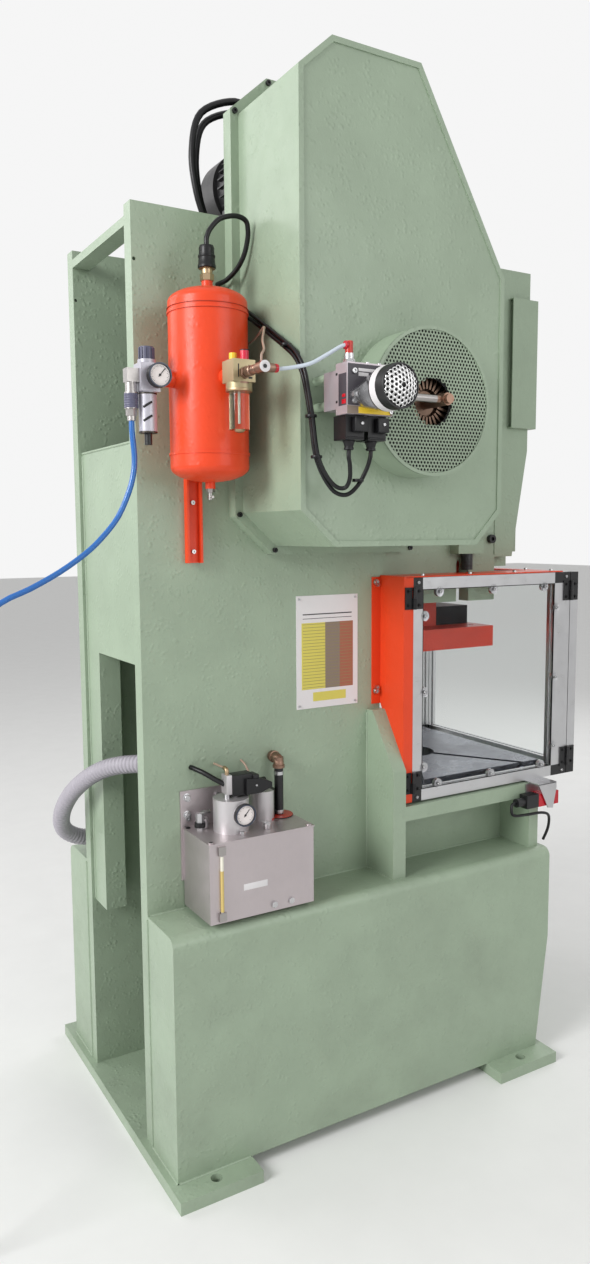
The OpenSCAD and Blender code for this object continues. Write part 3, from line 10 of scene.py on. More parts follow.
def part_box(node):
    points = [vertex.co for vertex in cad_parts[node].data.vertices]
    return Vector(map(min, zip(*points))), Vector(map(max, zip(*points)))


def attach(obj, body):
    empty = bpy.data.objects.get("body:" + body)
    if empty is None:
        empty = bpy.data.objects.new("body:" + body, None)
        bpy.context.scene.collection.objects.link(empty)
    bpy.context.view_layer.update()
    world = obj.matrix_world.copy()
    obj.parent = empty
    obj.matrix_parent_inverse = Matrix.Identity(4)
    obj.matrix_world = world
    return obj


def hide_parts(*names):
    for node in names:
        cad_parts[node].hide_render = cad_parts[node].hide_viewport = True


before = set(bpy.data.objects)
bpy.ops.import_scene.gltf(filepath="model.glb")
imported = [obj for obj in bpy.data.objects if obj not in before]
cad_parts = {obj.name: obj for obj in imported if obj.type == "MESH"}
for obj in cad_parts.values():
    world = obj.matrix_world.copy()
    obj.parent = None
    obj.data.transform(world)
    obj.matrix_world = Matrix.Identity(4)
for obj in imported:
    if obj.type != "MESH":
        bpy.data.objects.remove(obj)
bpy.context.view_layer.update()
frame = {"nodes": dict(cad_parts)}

MM = 0.001

bl_info = {
    "name": "Stamping Press Dresser",
    "version": (1, 0, 0),
    "blender": (4, 5, 0),
    "location": "3D Viewport > Sidebar > Press",
    "description": "Finishes and small fittings of a gap-frame stamping press",
    "category": "Object",
}


def mm(x, y, z):
    return Vector((x, y, z)) * MM


# Property groups

def colour(name, value):
    return FloatVectorProperty(name=name, description=f"Colour of the {name.lower()}, linear RGB",
                               subtype="COLOR", size=3, min=0.0, max=1.0, default=value)


def length(name, value, text):
    return FloatProperty(name=name, description=text, unit="LENGTH", min=0.0, default=value)


class PressColours(bpy.types.PropertyGroup):
    frame: colour("Frame paint", (0.298, 0.378, 0.275))
    guard: colour("Guard paint", (0.74, 0.060, 0.015))
    ram: colour("Ram paint", (0.55, 0.045, 0.022))
    black: colour("Black paint", (0.012, 0.012, 0.014))
    hose: colour("Hose", (0.008, 0.115, 0.40))
    conduit: colour("Conduit", (0.36, 0.34, 0.38))
    cabinet: colour("Cabinet", (0.40, 0.42, 0.43))
    signal: colour("Signal red", (0.48, 0.008, 0.02))
    plate_gold: colour("Plate field", (0.62, 0.55, 0.10))
    plate_red: colour("Plate column", (0.34, 0.11, 0.06))
    floor: colour("Floor", (0.80, 0.80, 0.79))


class PressSizes(bpy.types.PropertyGroup):
    peel: length("Paint texture", 0.0011, "Depth of the paint's droplets")
    hose: length("Hose diameter", 0.012, "Outside diameter of the air hose")
    rib_pitch: length("Rib pitch", 0.011, "Spacing of the conduit's ribs")
    cap_pitch: length("Cap hole spacing", 0.0088, "Spacing of the holes in the belt guard's cap")
    cap_hole: length("Cap hole size", 0.0058, "Diameter of the holes in the belt guard's cap")
    bead: length("Weld bead", 0.0065, "Width of the weld beads")
    tube_sides: IntProperty(name="Tube sides", description="Sides of the modelled cables",
                            min=6, max=32, default=14)


# Nodes

GROUPS = {}


def feed(tree, node, values):
    """Links or sets inputs by index or name, and gives back the node's first output."""
    for key, value in values.items():
        if hasattr(value, "is_output"):
            tree.links.new(value, node.inputs[key])
        else:
            node.inputs[key].default_value = value
    return node.outputs[0]


def add_node(tree, kind, values, **settings):
    """New node with its settings and inputs; gives back its first output."""
    node = tree.nodes.new(kind)
    for key, value in settings.items():
        setattr(node, key, value)
    return feed(tree, node, values)


def math_node(tree, operation, a, b, clamp=False):
    return add_node(tree, "ShaderNodeMath", {0: a, 1: b}, operation=operation, use_clamp=clamp)


def vector_node(tree, operation, values):
    return add_node(tree, "ShaderNodeVectorMath", values, operation=operation)


def noise(tree, place, scale, detail=3.0, rough=0.5):
    return add_node(tree, "ShaderNodeTexNoise",
                    {"Vector": place, "Scale": scale, "Detail": detail, "Roughness": rough})


def ramp(tree, value, lo, hi, out_lo=0.0, out_hi=1.0):
    return add_node(tree, "ShaderNodeMapRange", {0: value, 1: lo, 2: hi, 3: out_lo, 4: out_hi})


def mix_value(tree, mask, a, b):
    return add_node(tree, "ShaderNodeMix", {0: mask, 2: a, 3: b}, data_type="FLOAT")


def mix_colour(tree, mask, a, b):
    node = tree.nodes.new("ShaderNodeMix")
    node.data_type = "RGBA"
    feed(tree, node, {0: mask, 6: a, 7: b})
    return node.outputs[2]


def object_place(tree):
    return tree.nodes.new("ShaderNodeTexCoord").outputs["Object"]


def split(tree, vector):
    node = tree.nodes.new("ShaderNodeSeparateXYZ")
    feed(tree, node, {0: vector})
    return node.outputs


# Shared effects, as node groups

def new_group(name, inputs, output):
    """Group that puts out one number: gives the group, its inputs and the socket to end on."""
    group = bpy.data.node_groups.new(name, "ShaderNodeTree")
    for label, value in inputs.items():
        kind = "NodeSocketVector" if isinstance(value, tuple) else "NodeSocketFloat"
        group.interface.new_socket(name=label, in_out="INPUT", socket_type=kind).default_value = value
    group.interface.new_socket(name=output, in_out="OUTPUT", socket_type="NodeSocketFloat")
    GROUPS[name] = group
    return group, group.nodes.new("NodeGroupInput").outputs, group.nodes.new("NodeGroupOutput").inputs[0]


def placed_group(tree, name, values):
    return add_node(tree, "ShaderNodeGroup", values, node_tree=GROUPS[name])


def make_peel_group():
    """Scattered droplets of a sprayed, textured enamel, over a fine grain."""
    group, _, end = new_group("Paint droplets", {}, "Height")
    place = object_place(group)
    cells = add_node(group, "ShaderNodeTexVoronoi", {"Vector": place, "Scale": 95.0}, feature="SMOOTH_F1")
    drops = ramp(group, cells, 0.10, 0.42, 1.0, 0.0)
    sparse = ramp(group, noise(group, place, 26.0, 2.0), 0.40, 0.66)
    fine = math_node(group, "MULTIPLY", noise(group, place, 300.0, 2.0), 0.14)
    group.links.new(math_node(group, "ADD", math_node(group, "MULTIPLY", drops, sparse), fine), end)


def make_grime_group():
    """Dust and oil film: blotches and fine specks, thickest at the floor and thinning up to High."""
    group, given, end = new_group("Workshop grime", {"Amount": 0.3, "High": 1.0}, "Mask")
    place = object_place(group)
    near_floor = ramp(group, split(group, place)[2], 0.0, given["High"], 1.0, 0.25)
    blotch = ramp(group, noise(group, place, 5.0, 6.0, 0.62), 0.45, 0.75)
    specks = ramp(group, noise(group, place, 60.0, 4.0, 0.7), 0.60, 0.75)
    both = math_node(group, "ADD", blotch, math_node(group, "MULTIPLY", specks, 0.5))
    low = math_node(group, "MULTIPLY", both, near_floor)
    group.links.new(math_node(group, "MULTIPLY", low, given["Amount"], clamp=True), end)


def make_brushed_group():
    """Fine parallel scratches along one axis, from noise stretched by the given scale."""
    group, given, end = new_group("Brushed grain", {"Scale": ALONG_X}, "Grain")
    stretched = vector_node(group, "MULTIPLY", {0: object_place(group), 1: given["Scale"]})
    group.links.new(noise(group, stretched, 1.0, 5.0, 0.7), end)


def make_zone_group():
    """1 inside a box given by its centre and half size, 0 outside it."""
    group, given, end = new_group("Zone", {"Centre": (0.0, 0.0, 0.0), "Half size": (1.0, 1.0, 1.0)}, "Mask")
    offset = vector_node(group, "SUBTRACT", {0: object_place(group), 1: given["Centre"]})
    away = vector_node(group, "ABSOLUTE", {0: offset})
    room = split(group, vector_node(group, "SUBTRACT", {0: given["Half size"], 1: away}))
    least = math_node(group, "MINIMUM", math_node(group, "MINIMUM", room[0], room[1]), room[2])
    group.links.new(math_node(group, "GREATER_THAN", least, 0.0), end)


# Materials

class Finish:
    """Colour, metallic and roughness of one bare surface."""

    def __init__(self, rgb, metal=0.0, rough=0.4):
        self.rgb = (*rgb, 1.0)
        self.metal = metal
        self.rough = rough


PLASTIC = Finish((0.006, 0.006, 0.007), 0.0, 0.42)
STEEL = Finish((0.55, 0.55, 0.56), 1.0, 0.30)
BRASS = Finish((0.42, 0.31, 0.19), 1.0, 0.40)
BRONZE = Finish((0.30, 0.19, 0.14), 1.0, 0.44)
DULL_STEEL = Finish((0.38, 0.36, 0.35), 1.0, 0.36)
YELLOW = Finish((0.80, 0.55, 0.03), 0.0, 0.35)
SIGNAL = Finish((0.52, 0.03, 0.015), 0.0, 0.32)

ALONG_X = (30.0, 900.0, 900.0)
ALONG_Y = (900.0, 30.0, 900.0)
DIRT_RGB = (0.10, 0.09, 0.075, 1.0)
DIRT_ROUGH = 0.75
NOISE_RANGE = (0.3, 0.7)
ROUGH_SPREAD = 0.05
BUMP_STRENGTH = 0.8
BARE_DEPTH = 0.00006
GRAIN_DEPTH = 0.00005
COAT_ROUGH = 0.12
MATERIALS = {}


def new_material(name):
    material = bpy.data.materials.new(name)
    material.use_nodes = True
    return material, material.node_tree, material.node_tree.nodes["Principled BSDF"]


def make_material(name, base, zones=(), mottle=0.06, peel=0.0, grain=0.0, brushed=ALONG_X,
                  grime=0.0, grime_top=1.0, coat=0.0, shine=0.5):
    """One surface. A zone is (low corner, high corner, Finish), in millimetres of the rest pose."""
    material, tree, shader = new_material(name)
    place = object_place(tree)
    rgb, metal, rough = base.rgb, base.metal, base.rough
    for low, high, finish in zones:
        centre = (Vector(low) + Vector(high)) * MM / 2
        half = (Vector(high) - Vector(low)) * MM / 2
        mask = placed_group(tree, "Zone", {"Centre": centre, "Half size": half})
        rgb = mix_colour(tree, mask, rgb, finish.rgb)
        rough = mix_value(tree, mask, rough, finish.rough)
        if finish.metal != base.metal or hasattr(metal, "is_output"):
            metal = mix_value(tree, mask, metal, finish.metal)
    shade = ramp(tree, noise(tree, place, 7.0, 5.0, 0.6), *NOISE_RANGE, 1.0 - mottle, 1.0 + mottle)
    rgb = vector_node(tree, "SCALE", {0: rgb if zones else rgb[:3], "Scale": shade})
    uneven = ramp(tree, noise(tree, place, 30.0, 4.0), *NOISE_RANGE, -ROUGH_SPREAD, ROUGH_SPREAD)
    rough = math_node(tree, "ADD", rough, uneven)
    if grime:
        dirt = placed_group(tree, "Workshop grime", {"Amount": grime, "High": grime_top})
        rgb = mix_colour(tree, dirt, rgb, DIRT_RGB)
        rough = mix_value(tree, dirt, rough, DIRT_ROUGH)
    if grain:
        height = placed_group(tree, "Brushed grain", {"Scale": brushed})
        rough = math_node(tree, "ADD", rough, ramp(tree, height, *NOISE_RANGE, -grain, grain))
        depth = GRAIN_DEPTH
    elif peel:
        height = placed_group(tree, "Paint droplets", {})
        depth = peel
    else:
        height = noise(tree, place, 260.0, 2.0)
        depth = BARE_DEPTH
    bump = add_node(tree, "ShaderNodeBump", {"Strength": BUMP_STRENGTH, "Distance": depth, "Height": height})
    feed(tree, shader, {"Normal": bump, "Base Color": rgb, "Roughness": rough, "Metallic": metal,
                        "Coat Weight": coat, "Coat Roughness": COAT_ROUGH, "Specular IOR Level": shine})
    return material


def make_clear(name, rgb, rough=0.02, streak=0.02, ior=1.12):
    """Clear sheet or bowl, with faint wipe marks in its roughness."""
    material, tree, shader = new_material(name)
    wiped = placed_group(tree, "Brushed grain", {"Scale": (14.0, 14.0, 60.0)})
    feed(tree, shader, {"Base Color": (*rgb, 1.0), "Transmission Weight": 1.0, "IOR": ior,
                        "Roughness": ramp(tree, wiped, 0.45, 0.8, rough, rough + streak)})
    return material


def dress_node(node, material):
    """Puts a material on a CAD node through its object's own slots."""
    piece = frame["nodes"][node]
    if not piece.material_slots:
        piece.data.materials.append(material)
    for slot in piece.material_slots:
        slot.link = "OBJECT"
        slot.material = material


# Pieces


def add_piece(name, data, key, body="frame", slot=None):
    piece = bpy.data.objects.new(name, data)
    bpy.context.scene.collection.objects.link(piece)
    data.materials.append(MATERIALS[key])
    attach(piece, body)
    return piece


def make(name, key, steps, smooth=0.6, **rest):
    """One piece in the material of that key. A step is a function and what it gets besides the mesh."""
    build = bmesh.new()
    for add, *given in steps:
        add(build, *given)
    data = bpy.data.meshes.new(name)
    build.normal_update()
    build.to_mesh(data)
    build.free()
    if smooth:
        data.shade_smooth()
        data.set_sharp_from_angle(angle=smooth)
    return add_piece(name, data, key, **rest)


def make_boxes(name, key, boxes, soft=0.2, **rest):
    """One piece of boxes, each given by two corners in millimetres."""
    return make(name, key, [(add_block, mm(*low), mm(*high), soft * MM) for low, high in boxes], **rest)


def make_turned(name, key, forms, **rest):
    """One piece of turned forms: (centre, axis, [(radius, distance)], sides), in millimetres."""
    return make(name, key, [(add_turned, mm(*centre), axis, [(r * MM, at * MM) for r, at in profile], sides)
                            for centre, axis, profile, sides in forms], **rest)


def make_screws(name, key, places, **rest):
    """One piece of socket screws: (centre, axis, head radius), in millimetres."""
    return make(name, key, [(add_socket_screw, mm(*centre), axis, r * MM) for centre, axis, r in places],
                **rest)


def make_swept(name, key, runs, sides=20):
    """One piece of tubes: (points, radius), in millimetres."""
    return make(name, key, [(add_swept, route(points), r * MM, sides) for points, r in runs])


# Mesh helpers, in metres in the frame's own axes where they don't say otherwise

AXES = {
    "x": (Vector((0, 1, 0)), Vector((0, 0, 1)), Vector((1, 0, 0))),
    "-x": (Vector((0, 0, 1)), Vector((0, 1, 0)), Vector((-1, 0, 0))),
    "y": (Vector((0, 0, 1)), Vector((1, 0, 0)), Vector((0, 1, 0))),
    "z": (Vector((1, 0, 0)), Vector((0, 1, 0)), Vector((0, 0, 1))),
}


def circle(centre, u, v, radius, sides):
    """Points round a centre, in the plane of two directions."""
    return [centre + (u * math.cos(a) + v * math.sin(a)) * radius
            for a in (2 * math.pi * k / sides for k in range(sides))]


def add_skin(build, rings, closed=False):
    """Faces over rings of points. The ends are capped, or joined to each other where it is closed."""
    made = [[build.verts.new(place) for place in ring] for ring in rings]
    for one, two in zip(made, made[1:] + made[:1] if closed else made[1:]):
        for k in range(len(one)):
            j = (k + 1) % len(one)
            build.faces.new((one[k], one[j], two[j], two[k]))
    if not closed:
        build.faces.new(list(reversed(made[0])))
        build.faces.new(made[-1])


def add_block(build, low, high, soft=0.0):
    """Box between two corners, with rounded edges where soft is set."""
    centre = (Vector(low) + Vector(high)) / 2
    size = Vector(high) - Vector(low)
    place = Matrix.Translation(centre) @ Matrix.Diagonal((*size, 1.0))
    made = bmesh.ops.create_cube(build, size=1.0, matrix=place)["verts"]
    if soft:
        edges = list({e for v in made for e in v.link_edges})
        bmesh.ops.bevel(build, geom=edges, offset=soft, segments=3, profile=0.5, affect="EDGES")


def add_turned(build, centre, axis, profile, sides):
    """Turned form: profile is a list of (radius, distance along the axis) from one end to the other."""
    u, v, w = AXES[axis]
    add_skin(build, [circle(centre + w * along, u, v, radius, sides) for radius, along in profile])


def add_ring_plate(build, centre, axis, inner, outer, thick, sides=96):
    """Flat washer-like plate round an axis."""
    u, v, w = AXES[axis]
    corners = ((inner, 0.0), (outer, 0.0), (outer, thick), (inner, thick))
    add_skin(build, [circle(centre + w * along, u, v, radius, sides) for radius, along in corners], True)


def add_socket_screw(build, centre, axis, r):
    """Cap screw: round head with a bevelled rim and a sunk socket."""
    add_turned(build, centre, axis, [(r, 0), (r, r * 0.75), (r * 0.9, r * 0.95), (r * 0.55, r * 0.95),
                                     (r * 0.52, r * 0.5)], 24)


def add_slab(build, x0, x1, outline):
    """Plate across x, with its outline given as (y, z) corners, all in millimetres."""
    near = [build.verts.new(mm(x0, y, z)) for y, z in outline]
    far = [build.verts.new(mm(x1, y, z)) for y, z in outline]
    made = [build.faces.new(near), build.faces.new(list(reversed(far)))]
    for k in range(len(outline)):
        n = (k + 1) % len(outline)
        made.append(build.faces.new((near[k], far[k], far[n], near[n])))
    bmesh.ops.recalc_face_normals(build, faces=made)


def smooth_route(points, steps):
    """Catmull-Rom curve through the points, as in the part's source."""
    last = len(points) - 1
    made = []
    for i in range(last):
        a, b = points[max(i - 1, 0)], points[i]
        c, d = points[i + 1], points[min(i + 2, last)]
        for k in range(steps):
            t = k / steps
            made.append(0.5 * (2 * b + (c - a) * t + (2 * a - 5 * b + 4 * c - d) * t * t
                               + (3 * b - a - 3 * c + d) * t ** 3))
    made.append(points[-1])
    return made


def route(points, steps=6):
    """Smooth path in metres through points in millimetres."""
    return smooth_route([mm(*p) for p in points], steps)


def add_swept(build, path, radius, sides):
    """Tube along a path. radius is a number, or a function of the distance along the path."""
    side = None
    rings = []
    travelled = 0.0
    for i, point in enumerate(path):
        ahead = (path[min(i + 1, len(path) - 1)] - path[max(i - 1, 0)]).normalized()
        if side is None:
            helper = Vector((0, 0, 1)) if abs(ahead.z) < 0.9 else Vector((1, 0, 0))
            side = ahead.cross(helper)
        side = (side - ahead * side.dot(ahead)).normalized()
        if i:
            travelled += (point - path[i - 1]).length
        r = radius(travelled) if callable(radius) else radius
        rings.append(circle(point, side, ahead.cross(side), r, sides))
    add_skin(build, rings)


def even_path(path, step):
    """The same path, with points an even distance apart."""
    made = [path[0]]
    left = step
    for a, b in zip(path, path[1:]):
        run = (b - a).length
        at = left
        while at < run:
            made.append(a.lerp(b, at / run))
            at += step
        left = at - run
    made.append(path[-1])
    return made


def add_punched_sheet(build, centre, axis, pitch, hole, inner, outer, dome=0.0):
    """Sheet with round holes on a three-way lattice, between two radii, bulging by dome."""
    u, v, w = AXES[axis]
    corner = pitch / math.sqrt(3)
    rows = math.ceil(outer / pitch) + 2
    known = {}

    def at(x, y):
        rise = dome * (1 - (x * x + y * y) / (outer * outer)) if dome else 0.0
        return centre + u * x + v * y + w * rise

    def vert(x, y):
        key = (round(x * 1e5), round(y * 1e5))
        if key not in known:
            known[key] = build.verts.new(at(x, y))
        return known[key]

    for j in range(-rows, rows + 1):
        for i in range(-rows, rows + 1):
            x = pitch * (i + (j % 2) / 2)
            y = pitch * j * math.sqrt(3) / 2
            reach = math.hypot(x, y)
            if reach > outer - pitch * 0.5 or reach < inner + pitch * 0.5:
                continue
            rim = []
            edge = []
            for k in range(12):
                a = math.pi / 6 * (k + 1)
                far = corner if k % 2 == 0 else pitch / 2
                rim.append(vert(x + far * math.cos(a), y + far * math.sin(a)))
                edge.append(build.verts.new(at(x + hole / 2 * math.cos(a), y + hole / 2 * math.sin(a))))
            for k in range(12):
                n = (k + 1) % 12
                build.faces.new((rim[k], rim[n], edge[n], edge[k]))


# Places that several pieces share, in millimetres. The routes are those of the part's source, but the oil
# switch's cable is thicker here and takes its own way

TANK_X = -333
TANK_Y = 428
TANK_TOP = 2022
BOOT_Z = TANK_TOP + 41
REG_X = -340
REG_Y = 573
COUPLING_Y = 609
LUBE_X = -476
LUBE_Z = 1822
BANJO_X = -575
BANJO_Z = 1821
VALVE_X = -655
SILENCER_Y = 215
SILENCER_Z = 1779
OIL_TOP = 808
OIL_FACE_X = -375
RETURN_X = -262
RETURN_Y = 222
DOOR_X = 331
NUT_X = 329
NUT_PLACES = ([(y, z) for y in (-223, -409, -598) for z in (838, 1346)]
              + [(y, z) for y in (-175, -644) for z in (888, 1087, 1285)])
GAUGES = {"air": ((-386.4, 563, 1823), 21.5), "oil": ((-350.4, 361, 853), 22.5)}

HOSE_ROUTE = [(REG_X, y, z) for y, z in (
    (609, 1733), (609, 1718), (608, 1700), (605, 1660), (608, 1625), (619, 1587), (644, 1535), (680, 1492),
    (716, 1460), (770, 1424), (831, 1392), (890, 1366), (945, 1318), (980, 1250), (998, 1170), (1006, 1060),
    (1008, 860), (1008, 620), (1008, 380), (1010, 200), (1016, 110), (1034, 50), (1066, 16))]
HOSE_ROUTE += [(-340.2, 1100, 6)]
HOSE_R = 6
COIL_CENTRE = (-268, 1130)
COIL_OUTER = 72.3
COIL_INNER = 59.9
COIL_RISE = 12.4
COIL_TURNS = 4.5
COIL_TAIL = ((20, 17.0), (38, 13.5), (54, 10.0), (70, 9.0))

CONDUIT_ROUTE = [
    (-187, 428, 936), (-177, 428, 936), (-163, 429, 936), (-140, 436, 936), (-70, 494, 932),
    (10, 548, 915), (80, 585, 880), (160, 612, 820), (225, 622, 750), (270, 606, 690), (288, 560, 655),
    (290, 500, 645), (290, 430, 645), (290, 412, 645), (290, 400, 645)]
VALVE_CABLE = [
    (-227, 372, 1990), (-237, 372, 1990), (-247, 371, 1990), (-280, 345, 1992), (-300, 328, 1985),
    (-326, 322, 1972), (-382, 322, 1942), (-430, 321, 1914), (-480, 321, 1885), (-520, 320, 1857),
    (-541, 316, 1822), (-549, 312, 1786), (-553, 308, 1753), (-554, 303, 1719), (-557, 298, 1668),
    (-561, 289, 1634), (-567, 273, 1601), (-575, 256, 1581), (-587, 236, 1578), (-599, 218, 1597),
    (-610, 205, 1628), (-617, 201, 1650), (-618, 200, 1660), (-618, 200, 1670)]
SECOND_VALVE_CABLE = [
    (-227, 372, 2000), (-237, 372, 2000), (-247, 371, 2000), (-280, 345, 2002), (-303, 328, 1995),
    (-331, 322, 1982), (-387, 322, 1950), (-435, 321, 1922), (-485, 321, 1893), (-526, 320, 1865),
    (-550, 316, 1827), (-559, 313, 1787), (-563, 309, 1753), (-564, 304, 1719), (-567, 299, 1670),
    (-571, 291, 1638), (-577, 276, 1609), (-585, 260, 1592), (-595, 246, 1592), (-607, 244, 1610),
    (-616, 250, 1636), (-618, 254, 1650), (-618, 254, 1660), (-618, 254, 1670)]
CABLES = {
    "pressure_switch_cable": (11, [
        (TANK_X, TANK_Y, 2111), (TANK_X, TANK_Y, 2119), (TANK_X, 427, 2129), (-335, 419, 2147),
        (-338, 397, 2170), (-339, 362, 2181), (-338, 336, 2176), (-332, 327, 2159), (-325, 325, 2139),
        (-312, 327, 2111), (-292, 334, 2086), (-265, 345, 2068), (-247, 351, 2064), (-237, 352, 2064),
        (-227, 352, 2064)]),
    "valve_cable": (9, VALVE_CABLE),
    "second_valve_cable": (9, SECOND_VALVE_CABLE),
    "motor_cable": (16, [
        (-120, 167, 2500), (-120, 179, 2500), (-121, 197, 2503), (-128, 250, 2520), (-140, 345, 2470),
        (-145, 372, 2380), (-145, 362, 2290), (-140, 330, 2200), (-140, 330, 2120)]),
    "brake_cable": (16, [
        (-90, 167, 2500), (-90, 179, 2500), (-91, 197, 2502), (-98, 245, 2506), (-112, 325, 2460),
        (-118, 350, 2380), (-118, 342, 2290), (-115, 312, 2200), (-115, 312, 2120)]),
    "interlock_cable": (8, [
        (-363, -473, 752), (-363, -465, 752), (-364, -456, 746), (-369, -458, 722), (-370, -505, 716),
        (-372, -560, 714), (-368, -594, 700), (-356, -606, 660), (-340, -604, 620)]),
    "oil_switch_cable": (12, [
        (-227, 441, 950), (-240, 438, 949), (-262, 424, 942), (-284, 404, 928), (-300, 388, 918)]),
}
THICK_TUBE = [
    (BANJO_X, 394, BANJO_Z), (BANJO_X, 386, BANJO_Z), (-584, 360, 1825), (-600, 332, 1832),
    (-612, 301, 1850), (-619, 277, 1865), (-622, 268, 1869), (-622, 264, 1870)]
THIN_TUBE = [
    (-573, 428, 1832), (-573, 428, 1839), (-571, 426, 1847), (-555, 412, 1860), (-520, 396, 1884),
    (-470, 366, 1914), (-420, 339, 1934), (-360, 328, 1922), (-290, 324, 1914), (-274, 324, 1914),
    (-262, 324, 1914)]


def coil_points():
    """Air hose coil: spirals inwards on the floor, climbs inside, crosses over and winds down outside."""
    steps = 24
    spiral_turns = 0.75
    climb_from = 0.5
    cross_from = 2.6
    cross_turns = 0.4
    down_from = 3
    top = COIL_RISE * (down_from - climb_from)
    wide = COIL_OUTER - COIL_INNER
    made = []
    for k in range(1, int(COIL_TURNS * steps) + 1):
        u = k / steps
        if u < spiral_turns:
            r = COIL_OUTER - wide * u / spiral_turns
        elif u < cross_from:
            r = COIL_INNER
        else:
            r = COIL_INNER + wide * min((u - cross_from) / cross_turns, 1.0)
        climb = COIL_RISE * max(u - climb_from, 0.0) if u < down_from else top - COIL_RISE * (u - down_from)
        a = math.pi - 2 * math.pi * u
        made.append(mm(COIL_CENTRE[0] + r * math.cos(a), COIL_CENTRE[1] + r * math.sin(a), HOSE_R + climb))
    return made + [mm(COIL_CENTRE[0] + COIL_OUTER, COIL_CENTRE[1] - back, z) for back, z in COIL_TAIL]


# Operators

class PRESS_OT_stage(bpy.types.Operator):
    """Floor, soft studio light and the camera at the photographed angle"""
    bl_idname = "press.stage"
    bl_label = "Stage"

    eye = (-2.1816, 1.3054, 1.5)
    heading = -30.54
    pitch = -6.18
    roll = 0.38
    focal = 917.4 / 1264
    film = 36.0
    clip = (0.05, 80.0)
    floor_half = 30.0
    sky_light = 0.55
    sky_seen = 0.92
    lamp_target = (0.0, 0.0, 1.2)
    lamps = (("Key", (-1.3, 5.2, 3.6), 2.6, 250.0), ("Side", (-4.8, -1.4, 2.6), 3.0, 48.0),
             ("Rear", (3.2, 3.4, 3.6), 3.0, 45.0), ("Front", (1.2, -4.8, 3.2), 3.0, 60.0))

    def execute(self, context):
        self.add_camera(context)
        self.add_floor(context)
        self.add_light(context)
        return {"FINISHED"}

    def add_camera(self, context):
        data = bpy.data.cameras.new("Camera")
        camera = bpy.data.objects.new("Camera", data)
        context.scene.collection.objects.link(camera)
        h, p, q = (math.radians(v) for v in (self.heading, self.pitch, self.roll))
        ahead = Vector((math.cos(h) * math.cos(p), math.sin(h) * math.cos(p), math.sin(p)))
        right = ahead.cross(Vector((0, 0, 1))).normalized()
        up = right.cross(ahead)
        right, up = right * math.cos(q) - up * math.sin(q), up * math.cos(q) + right * math.sin(q)
        turn = Matrix((right, up, -ahead)).transposed().to_4x4()
        camera.matrix_world = Matrix.Translation(Vector(self.eye)) @ turn
        data.sensor_fit = "VERTICAL"
        data.sensor_height = self.film
        data.lens = self.focal * self.film
        data.clip_start, data.clip_end = self.clip
        context.scene.camera = camera

    def add_floor(self, context):
        build = bmesh.new()
        bmesh.ops.create_grid(build, x_segments=1, y_segments=1, size=self.floor_half)
        data = bpy.data.meshes.new("floor")
        build.to_mesh(data)
        build.free()
        piece = bpy.data.objects.new("floor", data)
        context.scene.collection.objects.link(piece)
        paint = Finish(context.scene.press_colours.floor, 0.0, 0.7)
        data.materials.append(make_material("Pale floor", paint, mottle=0.015))

    def add_light(self, context):
        world = bpy.data.worlds.new("Studio")
        context.scene.world = world
        world.use_nodes = True
        tree = world.node_tree
        rays = tree.nodes.new("ShaderNodeLightPath").outputs
        seen = math_node(tree, "MAXIMUM", rays["Is Camera Ray"], rays["Is Transmission Ray"])
        seen = math_node(tree, "MAXIMUM", seen, rays["Is Glossy Ray"])
        glow = mix_value(tree, seen, self.sky_light, self.sky_seen)
        feed(tree, tree.nodes["Background"], {"Color": (1.0, 1.0, 1.0, 1.0), "Strength": glow})
        for name, place, size, power in self.lamps:
            data = bpy.data.lights.new(name, "AREA")
            data.shape = "DISK"
            data.size = size
            data.energy = power
            lamp = bpy.data.objects.new(name, data)
            context.scene.collection.objects.link(lamp)
            lamp.location = place
            aim = Vector(self.lamp_target) - lamp.location
            lamp.rotation_euler = aim.to_track_quat("-Z", "Y").to_euler()
        context.scene.view_settings.view_transform = "Standard"


class PRESS_OT_air_hose(bpy.types.Operator):
    """Blue air hose: hangs from the inlet, drops to the floor and ends in a neat coil"""
    bl_idname = "press.air_hose"
    bl_label = "Air hose"

    def execute(self, context):
        d = context.scene.press_sizes.hose
        path = route(HOSE_ROUTE, 3) + coil_points()
        data = bpy.data.curves.new("air_hose_line", "CURVE")
        data.dimensions = "3D"
        data.bevel_depth = d / 2
        data.bevel_resolution = 4
        data.use_fill_caps = True
        line = data.splines.new("POLY")
        line.points.add(len(path) - 1)
        for point, place in zip(line.points, path):
            point.co = (*place, 1.0)
        piece = add_piece("air_hose_line", data, "hose")
        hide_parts("air_hose", "air_hose_coil")
        return {"FINISHED"}


class PRESS_OT_cables(bpy.types.Operator):
    """Control cables, their ties and the clear air tubes"""
    bl_idname = "press.cables"
    bl_label = "Cables and tubes"

    ties = ((-558, 306, 1736), (-562, 296, 1654), (-604, 222, 1606), (-483, 321, 1889))

    def execute(self, context):
        sides = context.scene.press_sizes.tube_sides
        piece = make_swept("cable_runs", "rubber", [(points, d / 2) for d, points in CABLES.values()], sides)
        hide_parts("control_cables")
        tie = [(11.5, -3), (12, -2), (12, 2), (11.5, 3)]
        make_turned("cable_ties", "rubber", [(place, "z", tie, 20) for place in self.ties])
        piece = make_swept("air_tube_runs", "tubes", [(THICK_TUBE, 4), (THIN_TUBE, 2.5)], sides)
        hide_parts("air_tubes")
        return {"FINISHED"}


